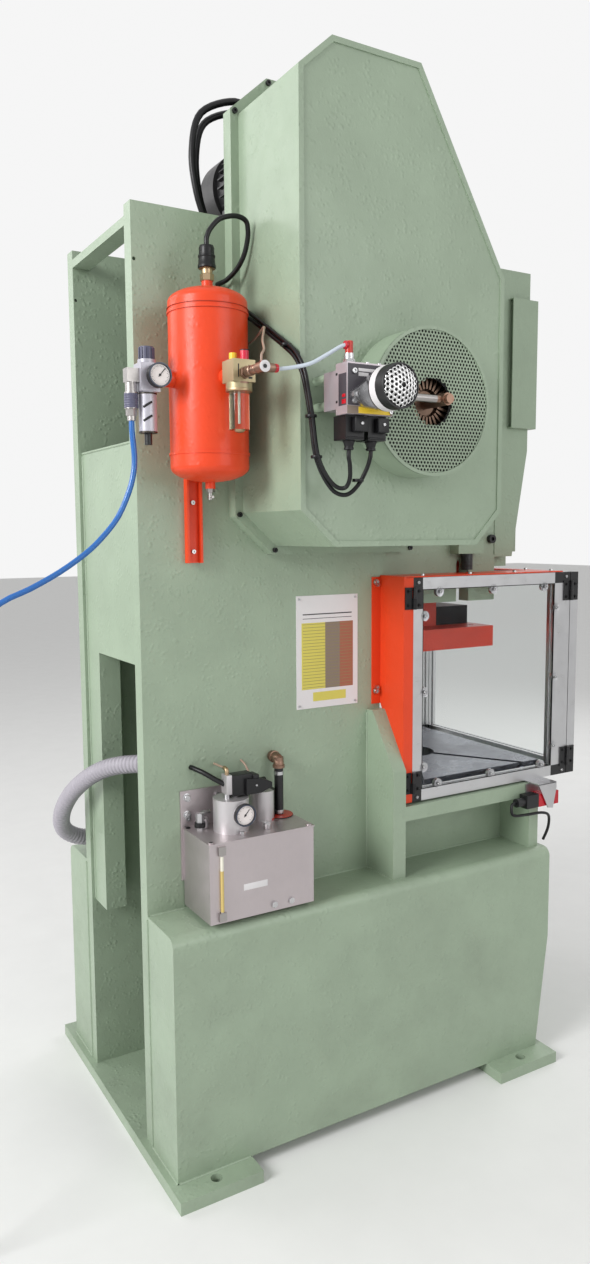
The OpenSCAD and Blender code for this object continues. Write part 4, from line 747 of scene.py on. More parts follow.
class PRESS_OT_conduit(bpy.types.Operator):
    """Ribbed grey conduit round the rear edge, with its glands"""
    bl_idname = "press.conduit"
    bl_label = "Ribbed conduit"

    core_r = 20.4
    rib_height = 2.6
    nut = ((29, 0), (29, 14), (26, 18), (25, 34), (23.5, 36))

    def execute(self, context):
        pitch = context.scene.press_sizes.rib_pitch

        def rib(at):
            wave = 0.5 + 0.5 * math.cos(2 * math.pi * at / pitch)
            return (self.core_r + self.rib_height * wave ** 0.6) * MM

        path = even_path(route(CONDUIT_ROUTE, 12), pitch / 6)
        piece = make("ribbed_conduit", "conduit", [(add_swept, path, rib, 28)], smooth=1.2)
        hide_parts("grey_conduit")
        make_turned("conduit_glands", "conduit", [(CONDUIT_ROUTE[-1], "y", self.nut, 12),
                                                  (CONDUIT_ROUTE[0], "x", self.nut, 12)])
        return {"FINISHED"}


class PRESS_OT_guard_cap(bpy.types.Operator):
    """Perforated cap of the belt guard, with its thin rim and a black ring behind it as painted shade in the
    holes
    """
    bl_idname = "press.guard_cap"
    bl_label = "Perforated cap"

    bore_r = 48 * MM
    sheet = 1.5 * MM
    face_wide = 5 * MM
    face_proud = 0.4 * MM
    wall = 2 * MM
    shade_disc_depth = 9 * MM
    shade_disc_bore_r = 50 * MM
    shade_disc_gap = 3 * MM
    shade_disc_thick = 1 * MM

    def execute(self, context):
        sizes = context.scene.press_sizes
        low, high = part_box("guard_cap")
        r = (high.z - low.z) / 2
        centre = Vector((low.x, (low.y + high.y) / 2, (low.z + high.z) / 2))
        face = centre - Vector((self.face_proud, 0, 0))
        piece = make("perforated_cap", "green", [
            (add_punched_sheet, centre, "x", sizes.cap_pitch, sizes.cap_hole, self.bore_r, r + 1 * MM),
            (add_ring_plate, face, "x", r - self.face_wide, r, self.wall),
            (add_ring_plate, centre, "x", r - self.wall, r, high.x - low.x)], smooth=0.5)
        thick = piece.modifiers.new("sheet", "SOLIDIFY")
        thick.thickness = self.sheet
        thick.offset = 1.0
        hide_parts("guard_cap")
        # Black ring behind the sheet: painted shade, so the holes read dark where the inside is only shadow
        behind = centre + Vector((self.shade_disc_depth, 0, 0))
        make("cap_painted_shade", "plastic", [(add_ring_plate, behind, "x", self.shade_disc_bore_r, r - self.shade_disc_gap,
                                       self.shade_disc_thick)], smooth=0)
        return {"FINISHED"}


class PRESS_OT_data_plate(bpy.types.Operator):
    """Printed fields of the data plate, as plain areas of colour"""
    bl_idname = "press.data_plate"
    bl_label = "Data plate"

    fields = {
        "gold": ((0.08, 0.17, 0.46, 0.76), (0.26, 0.06, 0.80, 0.14)),
        "grey": ((0.46, 0.17, 0.70, 0.76),),
        "rust": ((0.70, 0.17, 0.92, 0.76),),
        "dark": ((0.10, 0.83, 0.90, 0.84), (0.10, 0.795, 0.90, 0.80)),
    }
    field_proud = 0.25 * MM
    rows = 21
    rows_from = 0.185
    rows_over = 0.56
    rule = 1.1 * MM
    rule_proud = 0.35 * MM
    sunk = 0.1 * MM

    def execute(self, context):
        low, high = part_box("data_plate")
        x = low.x
        wide = high.y - low.y
        tall = high.z - low.z
        for name, areas in self.fields.items():
            make("plate_" + name, "plate_" + name, [
                (add_block, (x - self.field_proud, high.y - wide * c, low.z + tall * b),
                 (x + self.sunk, high.y - wide * a, low.z + tall * d)) for a, b, c, d in areas], smooth=0)
        rules = [low.z + tall * (self.rows_from + self.rows_over * k / (self.rows - 1))
                 for k in range(self.rows)]
        make("plate_rules", "plate_line", [
            (add_block, (x - self.rule_proud, high.y - wide * 0.90, z),
             (x - self.sunk, high.y - wide * 0.10, z + self.rule)) for z in rules], smooth=0)
        return {"FINISHED"}


class PRESS_OT_gauges(bpy.types.Operator):
    """Dials of the two pressure gauges, with their tick marks and bezels"""
    bl_idname = "press.gauges"
    bl_label = "Gauge dials"

    first_tick = -45
    tick_step = 10
    tick_count = 28
    tick_half = 0.35 * MM
    tick_lift = 0.2 * MM
    tick_ends = (0.80, 0.90)
    long_tick_start = 0.72
    bezel_over = 3.2
    bezel_wide = 2.6 * MM
    bezel_lift = 3.4 * MM
    bezel_thick = 1.2 * MM

    def execute(self, context):
        for name, (centre, r) in GAUGES.items():
            place = mm(*centre)
            make_turned(name + "_dial", "dial", [(centre, "-x", [(r, -0.3), (r, 0.1)], 48)])
            face = place - Vector((self.tick_lift, 0, 0))
            ticks = [(self.add_tick, face, r, k) for k in range(self.tick_count)]
            make(name + "_ticks", "plate_dark", ticks, smooth=0, slot="black_plastic")
            rim = (r + self.bezel_over) * MM
            make(name + "_bezel", "bezel", [(add_ring_plate, place - Vector((self.bezel_lift, 0, 0)), "-x",
                                             rim - self.bezel_wide, rim, self.bezel_thick, 48)])
        return {"FINISHED"}

    def add_tick(self, build, face, r, k):
        """Flat mark on the dial, a long one at every third place."""
        a = math.radians(self.first_tick + self.tick_step * k)
        out = Vector((0, math.cos(a), math.sin(a)))
        side = Vector((0, -math.sin(a), math.cos(a))) * self.tick_half
        start, stop = self.tick_ends
        start = face + out * (r * (start if k % 3 else self.long_tick_start) * MM)
        stop = face + out * (r * stop * MM)
        corners = (start + side, stop + side, stop - side, start - side)
        build.faces.new([build.verts.new(at) for at in corners])


class PRESS_OT_welds(bpy.types.Operator):
    """Fillet weld beads where the plates of the frame meet"""
    bl_idname = "press.welds"
    bl_label = "Weld beads"

    runs = (
        ((-227, 552, 608), (-227, -588, 608)), ((227, 552, 608), (227, -588, 608)),
        ((-227, -67, 614), (-227, -67, 1030)), ((227, -67, 614), (227, -67, 1030)),
        ((-340, -67, 608), (-231, -67, 608)), ((231, -67, 608), (340, -67, 608)),
        ((-183, 548, 1195), (-183, 548, 1700)), ((183, 548, 512), (183, 548, 1700)),
        ((-183, 548, 1707), (183, 548, 1707)), ((-187, 515, 2172), (-187, 555, 2172)),
        ((-227, -504, 1436), (-227, -504, 1784)), ((-227, -504, 2145), (-227, -504, 2212)),
        ((-340, -107, 795), (-231, -107, 795)), ((-227, -110, 757), (-227, -540, 757)),
        ((-227, 558, 36), (-227, 558, 600)), ((227, 558, 36), (227, 558, 600)),
        ((-227, 558, 30), (-377, 558, 30)), ((227, 558, 30), (377, 558, 30)),
        ((-377, 372, 30), (-377, 555, 30)), ((377, 372, 30), (377, 555, 30)),
    )
    step = 5 * MM
    ripple = 0.12
    ripple_pace = 0.9

    def execute(self, context):
        r = context.scene.press_sizes.bead / 2

        def swell(at, k):
            return r * (1 + self.ripple * math.sin(at / MM * self.ripple_pace + k))

        beads = []
        for k, (a, b) in enumerate(self.runs):
            start, stop = mm(*a), mm(*b)
            steps = max(int((stop - start).length / self.step), 2)
            path = [start.lerp(stop, n / steps) for n in range(steps + 1)]
            beads.append((add_swept, path, lambda at, k=k: swell(at, k), 8))
        make("weld_beads", "green", beads, smooth=1.2)
        return {"FINISHED"}


class PRESS_OT_valve(bpy.types.Operator):
    """Safety valve fittings: screws, bare fields, silencer and solenoid plugs"""
    bl_idname = "press.valve"
    bl_label = "Valve fittings"

    flange = ((276, 1774), (276, 1764), (250, 1746), (206, 1742), (180, 1746), (174, 1764), (174, 1794),
              (180, 1812), (206, 1816), (244, 1796))
    shell = ((34, 0), (34, 35), (42, 35.5), (44, 37), (44, 82), (43, 84), (40.6, 84), (40.6, 80), (37, 80),
             (22, 86))
    neck = ((8, -19), (10, -18), (10, -14), (8.6, -13), (11.5, -4), (12.6, -3), (12.6, 3))
    dome_x = VALVE_X - 81
    dome_pitch = 9.6 * MM
    dome_hole = 6.0 * MM
    dome_r = 45 * MM
    dome_rise = 13 * MM
    dome_sheet = 1.2 * MM

    def execute(self, context):
        self.add_body_fittings()
        self.add_silencer()
        self.add_plugs()
        return {"FINISHED"}

    def add_body_fittings(self):
        screws = [((VALVE_X, 267, z), "-x", 5.5) for z in (1757, 1815)]
        screws += [((VALVE_X, 178, z), "-x", 4) for z in (1740, 1824)] + [((-667, 266, 1769), "-x", 5)]
        screws += [((-646, y, 1832), "z", 4) for y in (200, 228)]
        make_screws("valve_screws", "steel", screws)
        make_screws("valve_base_screws", "plastic", [((-615, 276, z), "-x", 7.5) for z in (1758, 1812)])
        make_boxes("valve_dark_fields", "slate", [((-655.3, 175, 1749), (-654.9, 281, 1829)),
                                                  ((-653, 282.9, 1749), (-625, 283.3, 1811))])
        make_boxes("valve_side_field", "signal", [((-652, 283.2, 1752), (-637, 283.6, 1761)),
                                                  ((-650, 283.2, 1765), (-638, 283.6, 1771))])
        make_boxes("valve_strip", "plate_grey", [((-655.5, 173.5, 1732.5), (-654.9, 282.5, 1748))],
                   slot="machined_steel")
        make_boxes("valve_yellow_field", "yellow", [((-655.8, 179, 1734), (-655.4, 256, 1746.5))])
        make_boxes("valve_pale_field", "white", [((-655.7, 207, 1815), (-655.2, 256, 1821)),
                                                 ((-655.7, 232, 1806), (-655.2, 256, 1813))])
        make("silencer_flange", "steel", [(add_slab, -667, VALVE_X, self.flange)], smooth=0)
        make_turned("elbow_hex", "steel", [
            ((-622, 256, 1833), "z", [(11.8, 0), (12.2, 1), (12.2, 9), (11.8, 10)], 6),
            ((-622, 256, 1846), "z", [(10.6, 0), (10.6, 3)], 24)])
        make_turned("elbow_push_ring", "signal", [
            ((-622, 262, 1870), "y", [(7.2, -2), (8.4, -1), (8.4, 4), (6.2, 5)], 28)])

    def add_silencer(self):
        y, z = SILENCER_Y, SILENCER_Z
        piece = make_turned("silencer_shell", "silencer", [((VALVE_X, y, z), "-x", self.shell, 64)])
        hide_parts("valve_silencer")
        make_turned("silencer_band", "white", [
            ((VALVE_X - 40, y, z), "-x", [(44, 0), (44.4, 0.3), (44.4, 19), (44, 19.3)], 64)])
        dome = make("silencer_dome", "chrome", [
            (add_punched_sheet, mm(self.dome_x, y, z), "-x", self.dome_pitch, self.dome_hole, 0.0,
             self.dome_r, self.dome_rise)], smooth=0.8)
        thick = dome.modifiers.new("sheet", "SOLIDIFY")
        thick.thickness = self.dome_sheet

    def add_plugs(self):
        make_boxes("solenoid_plugs", "plastic", [
            ((VALVE_X, 232, 1699), (-641, 262, 1728)), ((VALVE_X, 180, 1699), (-641, 206, 1728)),
            ((-642, 233, 1686), (-600, 275, 1690)), ((-642, 179, 1686), (-600, 221, 1690))], 1.5)
        make_turned("solenoid_necks", "plastic", [((-618, y, 1684), "z", self.neck, 28) for y in (200, 254)])
        make_screws("solenoid_screws", "steel", [((VALVE_X, y, 1715), "-x", 3) for y in (193, 247)])


class PRESS_OT_air_service(bpy.types.Operator):
    """Lubricator and regulator fittings, tank seams and the tank's connector"""
    bl_idname = "press.air_service"
    bl_label = "Air service fittings"

    boot = ((18.2, 0), (19.6, 2), (19.6, 7), (18.4, 9), (17.6, 22), (18.6, 23.5), (18.6, 27), (17, 28.5),
            (16.4, 38), (16.8, 42), (15, 47.5), (6, 48.3))
    slot_r = 18.4
    slot_steps = 5

    def execute(self, context):
        self.add_lubricator()
        self.add_tank_fittings()
        self.add_filter()
        return {"FINISHED"}

    def add_lubricator(self):
        make_turned("tube_fittings", "bronze", [
            ((-501, TANK_Y, BANJO_Z), "-x", [(12, 0), (12.6, 1), (12.6, 9), (12, 10)], 6),
            ((-514, TANK_Y, BANJO_Z), "-x", [(10, 0), (10.4, 1), (10.4, 18), (9, 20)], 32),
            ((-540, TANK_Y, BANJO_Z), "-x", [(8.6, 0), (9.4, 1), (9.4, 14), (8.6, 15)], 32),
            ((BANJO_X, 420, BANJO_Z), "y", [(8.2, -18), (9, -17), (9, -4), (8, -3)], 28)])
        make_turned("banjo_ring", "white", [
            ((-586.8, TANK_Y, BANJO_Z), "-x", [(11.4, 0), (11.4, 1.2), (7, 1.6), (6.6, 0.4)], 32)])
        make_turned("banjo_bolt", "plastic", [((-587.2, TANK_Y, BANJO_Z), "-x", [(4, 0), (4, 0.9)], 24)])
        make_turned("tube_rings", "signal", [
            ((BANJO_X, 394, BANJO_Z), "y", [(6, -1), (8.4, 0), (8.4, 5), (7.6, 6)], 28),
            ((BANJO_X, TANK_Y, BANJO_Z + 10), "z", [(4.4, -1), (4.4, 1)], 20)])
        make_turned("lubricator_trim", "brass", [
            ((LUBE_X, TANK_Y, LUBE_Z - 112), "z", [(3, -6), (9, -4), (12, 0)], 24),
            ((LUBE_X, TANK_Y, LUBE_Z - 36), "z", [(27, 0), (27.5, 1), (27.5, 5), (27, 6)], 48)])
        make_boxes("lubricator_slots", "plastic", [
            ((-501.3, 440, 1812), (-500.9, 442.5, 1838)), ((-501.3, 413, 1833), (-500.9, 419, 1837)),
            ((-501.3, 410, 1810), (-500.9, 419, 1814))])
        make_turned("button_ring", "plastic", [
            ((-484, 419, 1868), "z", [(8.4, -0.5), (9.6, 0), (9.6, 1.6), (8.4, 2)], 28)])
        make_swept("siphon_tube", "milky", [([(LUBE_X, TANK_Y, 1788), (LUBE_X, TANK_Y, 1722)], 2.2)], 12)

    def add_tank_fittings(self):
        make_turned("connector_boot", "rubber", [((TANK_X, TANK_Y, BOOT_Z), "z", self.boot, 32)],
                    slot="black_plastic")
        make_turned("connector_nut", "brass", [
            ((TANK_X, TANK_Y, BOOT_Z - 26), "z", [(14, 0), (15, 1.2), (15, 14), (14, 15)], 6)])
        seam = [(88, 0), (88.25, 0.2), (88.25, 0.7), (88, 0.9)]
        make_turned("tank_seams", "seam", [
            ((TANK_X, TANK_Y, TANK_TOP - drop), "z", seam, 72) for drop in (46, 57)])

    def add_filter(self):
        rim = [(19, 0), (19.7, 0.5), (19.7, 3), (19, 3.5)]
        make_turned("filter_bowl_trim", "dark_steel", [
            ((REG_X, REG_Y, z), "z", rim, 40) for z in (1709, 1788)])
        turns = [math.radians(186 - 11 * k) for k in range(self.slot_steps + 1)]
        make_swept("filter_bowl_slots", "plastic", [
            ([(REG_X + self.slot_r * math.cos(a), REG_Y + self.slot_r * math.sin(a),
               z - 11 * k / self.slot_steps) for k, a in enumerate(turns)], 2.6) for z in (1772, 1744)], 12)
        grip = [(13.8, 0)]
        for k in range(6):
            grip += [(14.8, 1.5 + 5 * k), (14.8, 4 + 5 * k), (14.2, 5 + 5 * k)]
        make_turned("coupling_grip", "knob", [((REG_X, COUPLING_Y, 1758), "z", grip, 32)])


class PRESS_OT_oil_unit(bpy.types.Operator):
    """Oil unit fittings: clamps, small pipes, valve block, bolts and drain plugs"""
    bl_idname = "press.oil_unit"
    bl_label = "Oil unit fittings"

    plug = ((344, 892), (344, 930), (304, 926), (276, 914), (276, 903), (304, 892))
    bolt = ((8, 0), (8, 5), (7, 6))
    clamp = ((11, 0), (12.4, 0.4), (12.4, 8.6), (11, 9))
    collar = ((13, 0), (15, 0.8), (15, 7), (13, 8))
    cap = ((6, 0), (6, 2), (4.5, 3))

    def execute(self, context):
        hardware = [((RETURN_X, RETURN_Y, z), "z", self.clamp, 32) for z in (OIL_TOP + 6, OIL_TOP + 102)]
        hardware += [((OIL_FACE_X, y, 636), "-x", self.bolt, 6) for y in (301, 255)]
        hardware += [((-231, 455, z), "-x", [(10, 0), (10, 1.5), (7.5, 2), (7.5, 7), (6.5, 8)], 24)
                     for z in (880, 838)]
        make_turned("oil_unit_hardware", "steel", hardware + [
            ((-340, 298, OIL_TOP), "z", [(9, 0), (9.6, 1), (9.6, 13), (8.6, 14)], 28),
            ((-355, 371, OIL_TOP), "z", [(7, 0), (7, 8), (6, 9)], 6),
            ((-265, 437, OIL_TOP), "z", [(12, 0), (12, 7)], 6),
            ((-265, 437, OIL_TOP + 18), "z", [(10, 0), (10, 20), (8, 22)], 6),
            ((-303, 384, OIL_TOP + 77), "z", [(7, 0), (7, 12)], 24)])
        make_boxes("oil_manifold", "pump", [((-317, 377, OIL_TOP + 88), (-288, 391, OIL_TOP + 134))], 1)
        make_swept("oil_pipe_elbow", "brass", [
            ([(-303, 384, 940), (-303, 384, 949), (-299, 384, 954), (-290, 384, 955)], 5)])
        make_swept("oil_pipes", "tubes", [
            ([(-292, 384, 955), (-262, 382, 953), (-227, 380, 951)], 2.6),
            ([(-262, 296, 878), (-258, 300, 916), (-246, 305, 940), (-227, 308, 950)], 2.6)])
        make_swept("oil_elbows", "bronze", [
            ([(RETURN_X, RETURN_Y, 928), (RETURN_X, RETURN_Y, 938), (-259, RETURN_Y, 946),
              (-250, RETURN_Y, 950), (-228, RETURN_Y, 950)], 13)], 28)
        make_turned("oil_elbow_collars", "bronze", [((RETURN_X, RETURN_Y, 927), "z", self.collar, 28),
                                                    ((-244, RETURN_Y, 950), "x", self.collar, 28)])
        make_swept("oil_fitting_arm", "steel", [
            ([(-265, 437, 838), (-264, 434, 845), (-259, 422, 846), (-250, 404, 844)], 5)])
        make_turned("oil_fitting_collar", "plastic", [
            ((-265, 437, OIL_TOP + 7), "z", [(12.8, 0), (12.8, 11)], 28),
            ((-240, 457, OIL_TOP), "z", self.cap, 24), ((-367, 457, OIL_TOP), "z", self.cap, 24),
            ((RETURN_X, RETURN_Y, OIL_TOP - 0.5), "z", [(34.3, 0), (34.6, 1.4), (34.3, 2.6)], 48)])
        make_boxes("oil_tank_field", "white", [((OIL_FACE_X - 0.4, 318, 685), (OIL_FACE_X + 0.1, 380, 700))])
        make_boxes("oil_valve_body", "plastic", [
            ((-318, 322, OIL_TOP + 82), (-284, 377, OIL_TOP + 132)),
            ((-322, 308, OIL_TOP + 86), (-288, 324, OIL_TOP + 128))], 2)
        make("oil_valve_plug", "plastic", [(add_slab, -326, -300, self.plug)], smooth=0)
        make_screws("oil_valve_screw", "steel", [((-326, 318, OIL_TOP + 104), "-x", 2.6)])
        return {"FINISHED"}


class PRESS_OT_guard_fittings(bpy.types.Operator):
    """Guard fittings: pane gaskets, pane nuts, screws, interlock key"""
    bl_idname = "press.guard_fittings"
    bl_label = "Guard fittings"

    key = ((-537, 799), (-606, 799), (-607, 785), (-594, 726), (-575, 729), (-559, 760))
    gasket = 2 * MM
    gasket_inset = 3 * MM

    def execute(self, context):
        for name, side in (("left", -1), ("right", 1)):
            self.add_door_fittings(name, side)
        screws = [((x, -652, 1388), "z", 5) for x in (-300, -200, 0, 200, 300)]
        screws += [((x, y, 1388), "z", 5) for y in (-180, -340, -500) for x in (-312, 312)]
        screws += [((-231, -91, z), "-x", 8) for z in (1371, 1084)]
        make_screws("guard_screws", "steel", screws)
        make_boxes("guard_tab", "orange_guard", [((-325, -108, 812), (-290, -104, 842))], 1)
        make_turned("guard_tab_screw", "steel", [
            ((-308, -104, 827), "y", [(10, 0), (10, 1.5), (7, 2), (7, 6), (6, 7)], 24)])
        make("interlock_key", "steel", [
            (add_slab, -384, -381, self.key),
            (add_block, mm(-384, self.key[1][0], 797), mm(-331, self.key[0][0], 800))],
            smooth=0, body="left_door")
        return {"FINISHED"}

    def add_door_fittings(self, name, side):
        body = name + "_door"
        out = "-x" if side < 0 else "x"
        low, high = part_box(body + "_pane")
        inner, outer = sorted((side * 327 * MM, side * (DOOR_X + 0.2) * MM))
        wide, inset = self.gasket, self.gasket_inset
        y0, y1, z0, z1 = low.y + inset, high.y - inset, low.z + inset, high.z - inset
        make(name + "_pane_gasket", "rubber", [
            (add_block, (inner, a, c), (outer, b, d))
            for a, b, c, d in ((y0, y1, z0, z0 + wide), (y0, y1, z1 - wide, z1), (y0, y0 + wide, z0, z1),
                               (y1 - wide, y1, z0, z1))], smooth=0, body=body)
        nut = [(13, 0), (13, 2.4), (10.5, 3.4)]
        make_turned(name + "_pane_nuts", "clear_nut", [
            ((side * NUT_X, y, z), out, nut, 28) for y, z in NUT_PLACES], body=body)
        screws = [((side * (NUT_X + 3), y, z), out, 4.6) for y, z in NUT_PLACES]
        screws += [((side * DOOR_X, y, z), out, 4) for y in (-152, -680) for z in (812, 1372)]
        make_screws(name + "_pane_screws", "steel", screws, body=body)


class PRESS_OT_finishes(bpy.types.Operator):
    """Finishes of every CAD piece"""
    bl_idname = "press.finishes"
    bl_label = "Finishes"

    def execute(self, context):
        for node, name in NODE_FINISHES.items():
            dress_node(node, MATERIALS[name])
        left = sorted(set(frame["nodes"]) - set(NODE_FINISHES))
        if left:
            raise RuntimeError("no finish for " + ", ".join(left))
        return {"FINISHED"}


class PRESS_PT_panel(bpy.types.Panel):
    """Sizes, colours and pieces of the press"""
    bl_label = "Stamping press"
    bl_idname = "PRESS_PT_panel"
    bl_space_type = "VIEW_3D"
    bl_region_type = "UI"
    bl_category = "Press"

    def draw(self, context):
        layout = self.layout
        for group in (context.scene.press_sizes, context.scene.press_colours):
            for key in group.__annotations__:
                layout.prop(group, key)
        for operator in OPERATORS:
            layout.operator(operator.bl_idname)


NODE_FINISHES = {node: key for key, nodes in {
    "green": "left_side_plate right_side_plate cross_plates foot_plates base_boxes bed_plate ram_guides "
             "head_cover belt_guard belt_guard_frame guard_cap gear_case motor_mount",
    "stops": "knockout_stops",
    "table": "bolster_plate",
    "steel": "shaft_bearings hose_end_coupling crankshaft bull_gear",
    "motor": "motor",
    "rubber": "v_belts control_cables",
    "orange_tank": "air_tank",
    "tank_fittings": "tank_fittings",
    "filter": "filter_regulator",
    "dull_steel": "hose_coupling",
    "lubricator": "lubricator",
    "clear_bowl": "lubricator_bowl",
    "milky": "air_tubes",
    "valve": "safety_valve",
    "silencer": "valve_silencer",
    "plastic": "valve_solenoids air_gauge_needle oil_gauge_needle",
    "union": "rotary_union",
    "white": "data_plate",
    "orange_guard": "guard_panels",
    "interlock": "interlock_switch",
    "sheet": "oil_tank",
    "oil_pump": "oil_pump",
    "conduit": "grey_conduit",
    "cabinet": "control_cabinet cabinet_door",
    "screws": "screws",
    "hose": "air_hose air_hose_coil",
    "iron": "flywheel motor_pulley conrod",
    "clutch": "drive_shaft",
    "ram": "ram",
    "satin_black": "shank_clamp",
    "left_profile": "left_door",
    "clear_pane": "left_door_pane front_door_pane right_door_pane",
    "front_profile": "front_door",
    "right_profile": "right_door",
    "signal": "isolator_handle",
    "knob": "regulator_knob",
}.items() for node in nodes.split()}


def door_zones(side):
    """Black corners and hinges of a side door."""
    x0, x1 = sorted((side * 331.3, side * 360))
    corners = [((-400, y0, z0), (400, y1, z1), PLASTIC)
               for y0, y1 in ((-167, -130), (-698, -637)) for z0, z1 in ((790, 830), (1354, 1394))]
    return corners + [((x0, -720, 790), (x1, -130, 1400), PLASTIC)]


def build_materials(colours, sizes):
    def new(key, name, base, zones=(), **looks):
        MATERIALS[key] = make_material(name, base, zones, **looks)

    peel = sizes.peel
    dusty = dict(grime=0.1, grime_top=3.0)
    worn = dict(grime=0.3, grime_top=3.0)
    green = Finish(colours.frame, 0.0, 0.42)
    orange = Finish(colours.guard, 0.0, 0.36)
    milky = Finish((0.50, 0.56, 0.63), 0.0, 0.3)
    alloy = Finish((0.60, 0.60, 0.61), 1.0, 0.33)
    clutch_iron = Finish((0.17, 0.11, 0.08), 0.9, 0.42)

    new("green", "Frame enamel", green, peel=peel, grime=0.22, grime_top=0.9, coat=0.1)
    new("stops", "Stop enamel and black screws", green, [
        ((-300, -460, 1370), (300, -300, 1439.7), PLASTIC),
        ((-300, -460, 1475.3), (300, -300, 1520), PLASTIC)], peel=peel)
    new("orange_tank", "Tank enamel", orange, mottle=0.08, peel=peel * 0.5, grime=0.08, coat=0.08, shine=0.3)
    new("seam", "Tank seam", Finish((0.40, 0.035, 0.012), 0.0, 0.6), mottle=0.2)
    new("orange_guard", "Guard enamel", orange, [
        ((-350, -150, 790), (-331.3, -100, 1395), PLASTIC),
        ((331.3, -150, 790), (350, -100, 1395), PLASTIC)],
        mottle=0.04, peel=peel * 0.4, grime=0.05, coat=0.05, shine=0.3)
    new("ram", "Ram enamel", Finish(colours.ram, 0.0, 0.42),
        mottle=0.1, peel=peel * 0.6, grime=0.2, grime_top=1.6, coat=0.15)
    new("satin_black", "Black oxide", Finish((0.02, 0.02, 0.022), 0.6, 0.42), grime=0.1)
    new("motor", "Motor enamel", Finish(colours.black),
        mottle=0.1, peel=peel * 0.4, grime=0.25, grime_top=3.0)
    new("rubber", "Black rubber", Finish((0.004, 0.004, 0.005), 0.0, 0.36), mottle=0.2, shine=0.35)
    new("plastic", "Black moulding", PLASTIC, mottle=0.15, shine=0.4)
    new("dull_steel", "Dull steel", DULL_STEEL, grain=0.08, grime=0.12, grime_top=3.0)
    new("union", "Rotary union", BRONZE, [((-700, 45, 1740), (-560, 260, 1820), DULL_STEEL)], mottle=0.15)
    new("knob", "Knob moulding", Finish((0.095, 0.095, 0.15), 0.0, 0.45), mottle=0.1)
    new("bezel", "Gauge bezel", Finish((0.035, 0.045, 0.075), 0.0, 0.35), mottle=0.1)
    new("slate", "Slate field", Finish((0.045, 0.04, 0.05), 0.0, 0.45), mottle=0.1)
    new("pump", "Pale casting", Finish((0.54, 0.52, 0.53), 0.75, 0.42), mottle=0.08)
    new("steel", "Machined steel", STEEL, grain=0.08, grime=0.12, grime_top=3.0)
    new("chrome", "Chromed sheet", Finish((0.72, 0.72, 0.72), 1.0, 0.16), mottle=0.03)
    new("dark_steel", "Dark steel", Finish((0.09, 0.08, 0.07), 1.0, 0.45), grain=0.08)
    # The table's dark base colour is painted shade, for the table sitting behind the pane under the ram
    new("table", "Ground table in painted shade", Finish((0.23, 0.24, 0.28), 1.0, 0.30),
        mottle=0.16, grain=0.1, brushed=(700.0, 24.0, 700.0), grime=0.35, grime_top=3.0)
    new("sheet", "Bare sheet tank", Finish((0.50, 0.45, 0.46), 0.85, 0.42), [
        ((-384, 420, 625), (-375.2, 450, 649), DULL_STEEL),
        ((-384, 420, 777), (-375.2, 450, 802), DULL_STEEL),
        ((-384, 420, 648), (-375.2, 450, 745), Finish((0.58, 0.44, 0.15), 0.0, 0.25)),
        ((-384, 420, 744), (-375.2, 450, 778), Finish((0.75, 0.73, 0.62), 0.0, 0.25))],
        mottle=0.05, grain=0.07, brushed=(900.0, 900.0, 26.0), grime=0.10)
    new("iron", "Cast iron", Finish((0.16, 0.13, 0.11), 1.0, 0.55), mottle=0.25, **worn)
    new("clutch", "Shaft steel and clutch iron", STEEL, [
        ((-600, -200, 1600), (-439, 200, 1950), clutch_iron)], mottle=0.1, **worn)
    new("brass", "Dull brass", BRASS, mottle=0.12, **dusty)
    new("bronze", "Bronze fittings", BRONZE, mottle=0.15, **dusty)
    new("tank_fittings", "Tank brass and boot", BRASS, [
        ((-360, 400, BOOT_Z), (-310, 460, 2200), PLASTIC), ((-360, 400, 1597.1), (-310, 460, 1700), orange),
        ((-360, 400, 1900), (-310, 460, 2036.9), orange),
        ((-360, 400, 1560), (-310, 460, 1597), DULL_STEEL)], mottle=0.1)
    new("filter", "Filter body", Finish((0.44, 0.43, 0.48), 0.3, 0.38), [
        ((-392, 535, 1795), (-373.8, 592, 1850), PLASTIC), ((-390, 540, 1680), (-300, 600, 1709), PLASTIC)])
    new("lubricator", "Lubricator body", Finish((0.37, 0.31, 0.18), 0.5, 0.38), [
        ((-480, 428, 1848.2), (-440, 460, 1900), YELLOW),
        ((-500, 400, 1848.2), (-462, 428.2, 1900), Finish((0.60, 0.015, 0.05), 0.0, 0.30)),
        ((-600, 380, 1800), (-501.2, 450, 1845), BRONZE)], mottle=0.1)
    new("valve", "Valve casting", Finish((0.50, 0.45, 0.48), 0.6, 0.42), [
        ((-640, 240, 1854.1), (-600, 275, 1900), SIGNAL), ((-640, 240, 1832.2), (-600, 275, 1854), STEEL),
        ((-570.8, 150, 1700), (-500, 300, 1850), green)], mottle=0.08)
    new("silencer", "Silencer", PLASTIC, [((-690.2, 160, 1700), (-650, 270, 1850), STEEL)])
    new("interlock", "Interlock body", Finish(colours.signal, 0.0, 0.28), [
        ((-400, -545.2, 700), (-330, -460, 771.5), PLASTIC), ((-348.2, -620, 700), (-330, -500, 800), STEEL)])
    new("oil_pump", "Pump castings", Finish((0.56, 0.54, 0.55), 0.75, 0.42), [
        ((-356, 330, 822), (-342.4, 392, 884), PLASTIC), ((-300, 190, 811.3), (-230, 250, 927.8), PLASTIC),
        ((-300, 190, 927.9), (-220, 250, 960), BRONZE), ((-300, 185, 808.1), (-225, 258, 811.2), SIGNAL),
        ((-305, 265, 884), (-255, 365, 925), PLASTIC)], mottle=0.06, grain=0.06, brushed=(900.0, 900.0, 24.0))
    new("cabinet", "Cabinet coat", Finish(colours.cabinet, 0.0, 0.5),
        mottle=0.04, peel=peel * 0.4, grime=0.12)
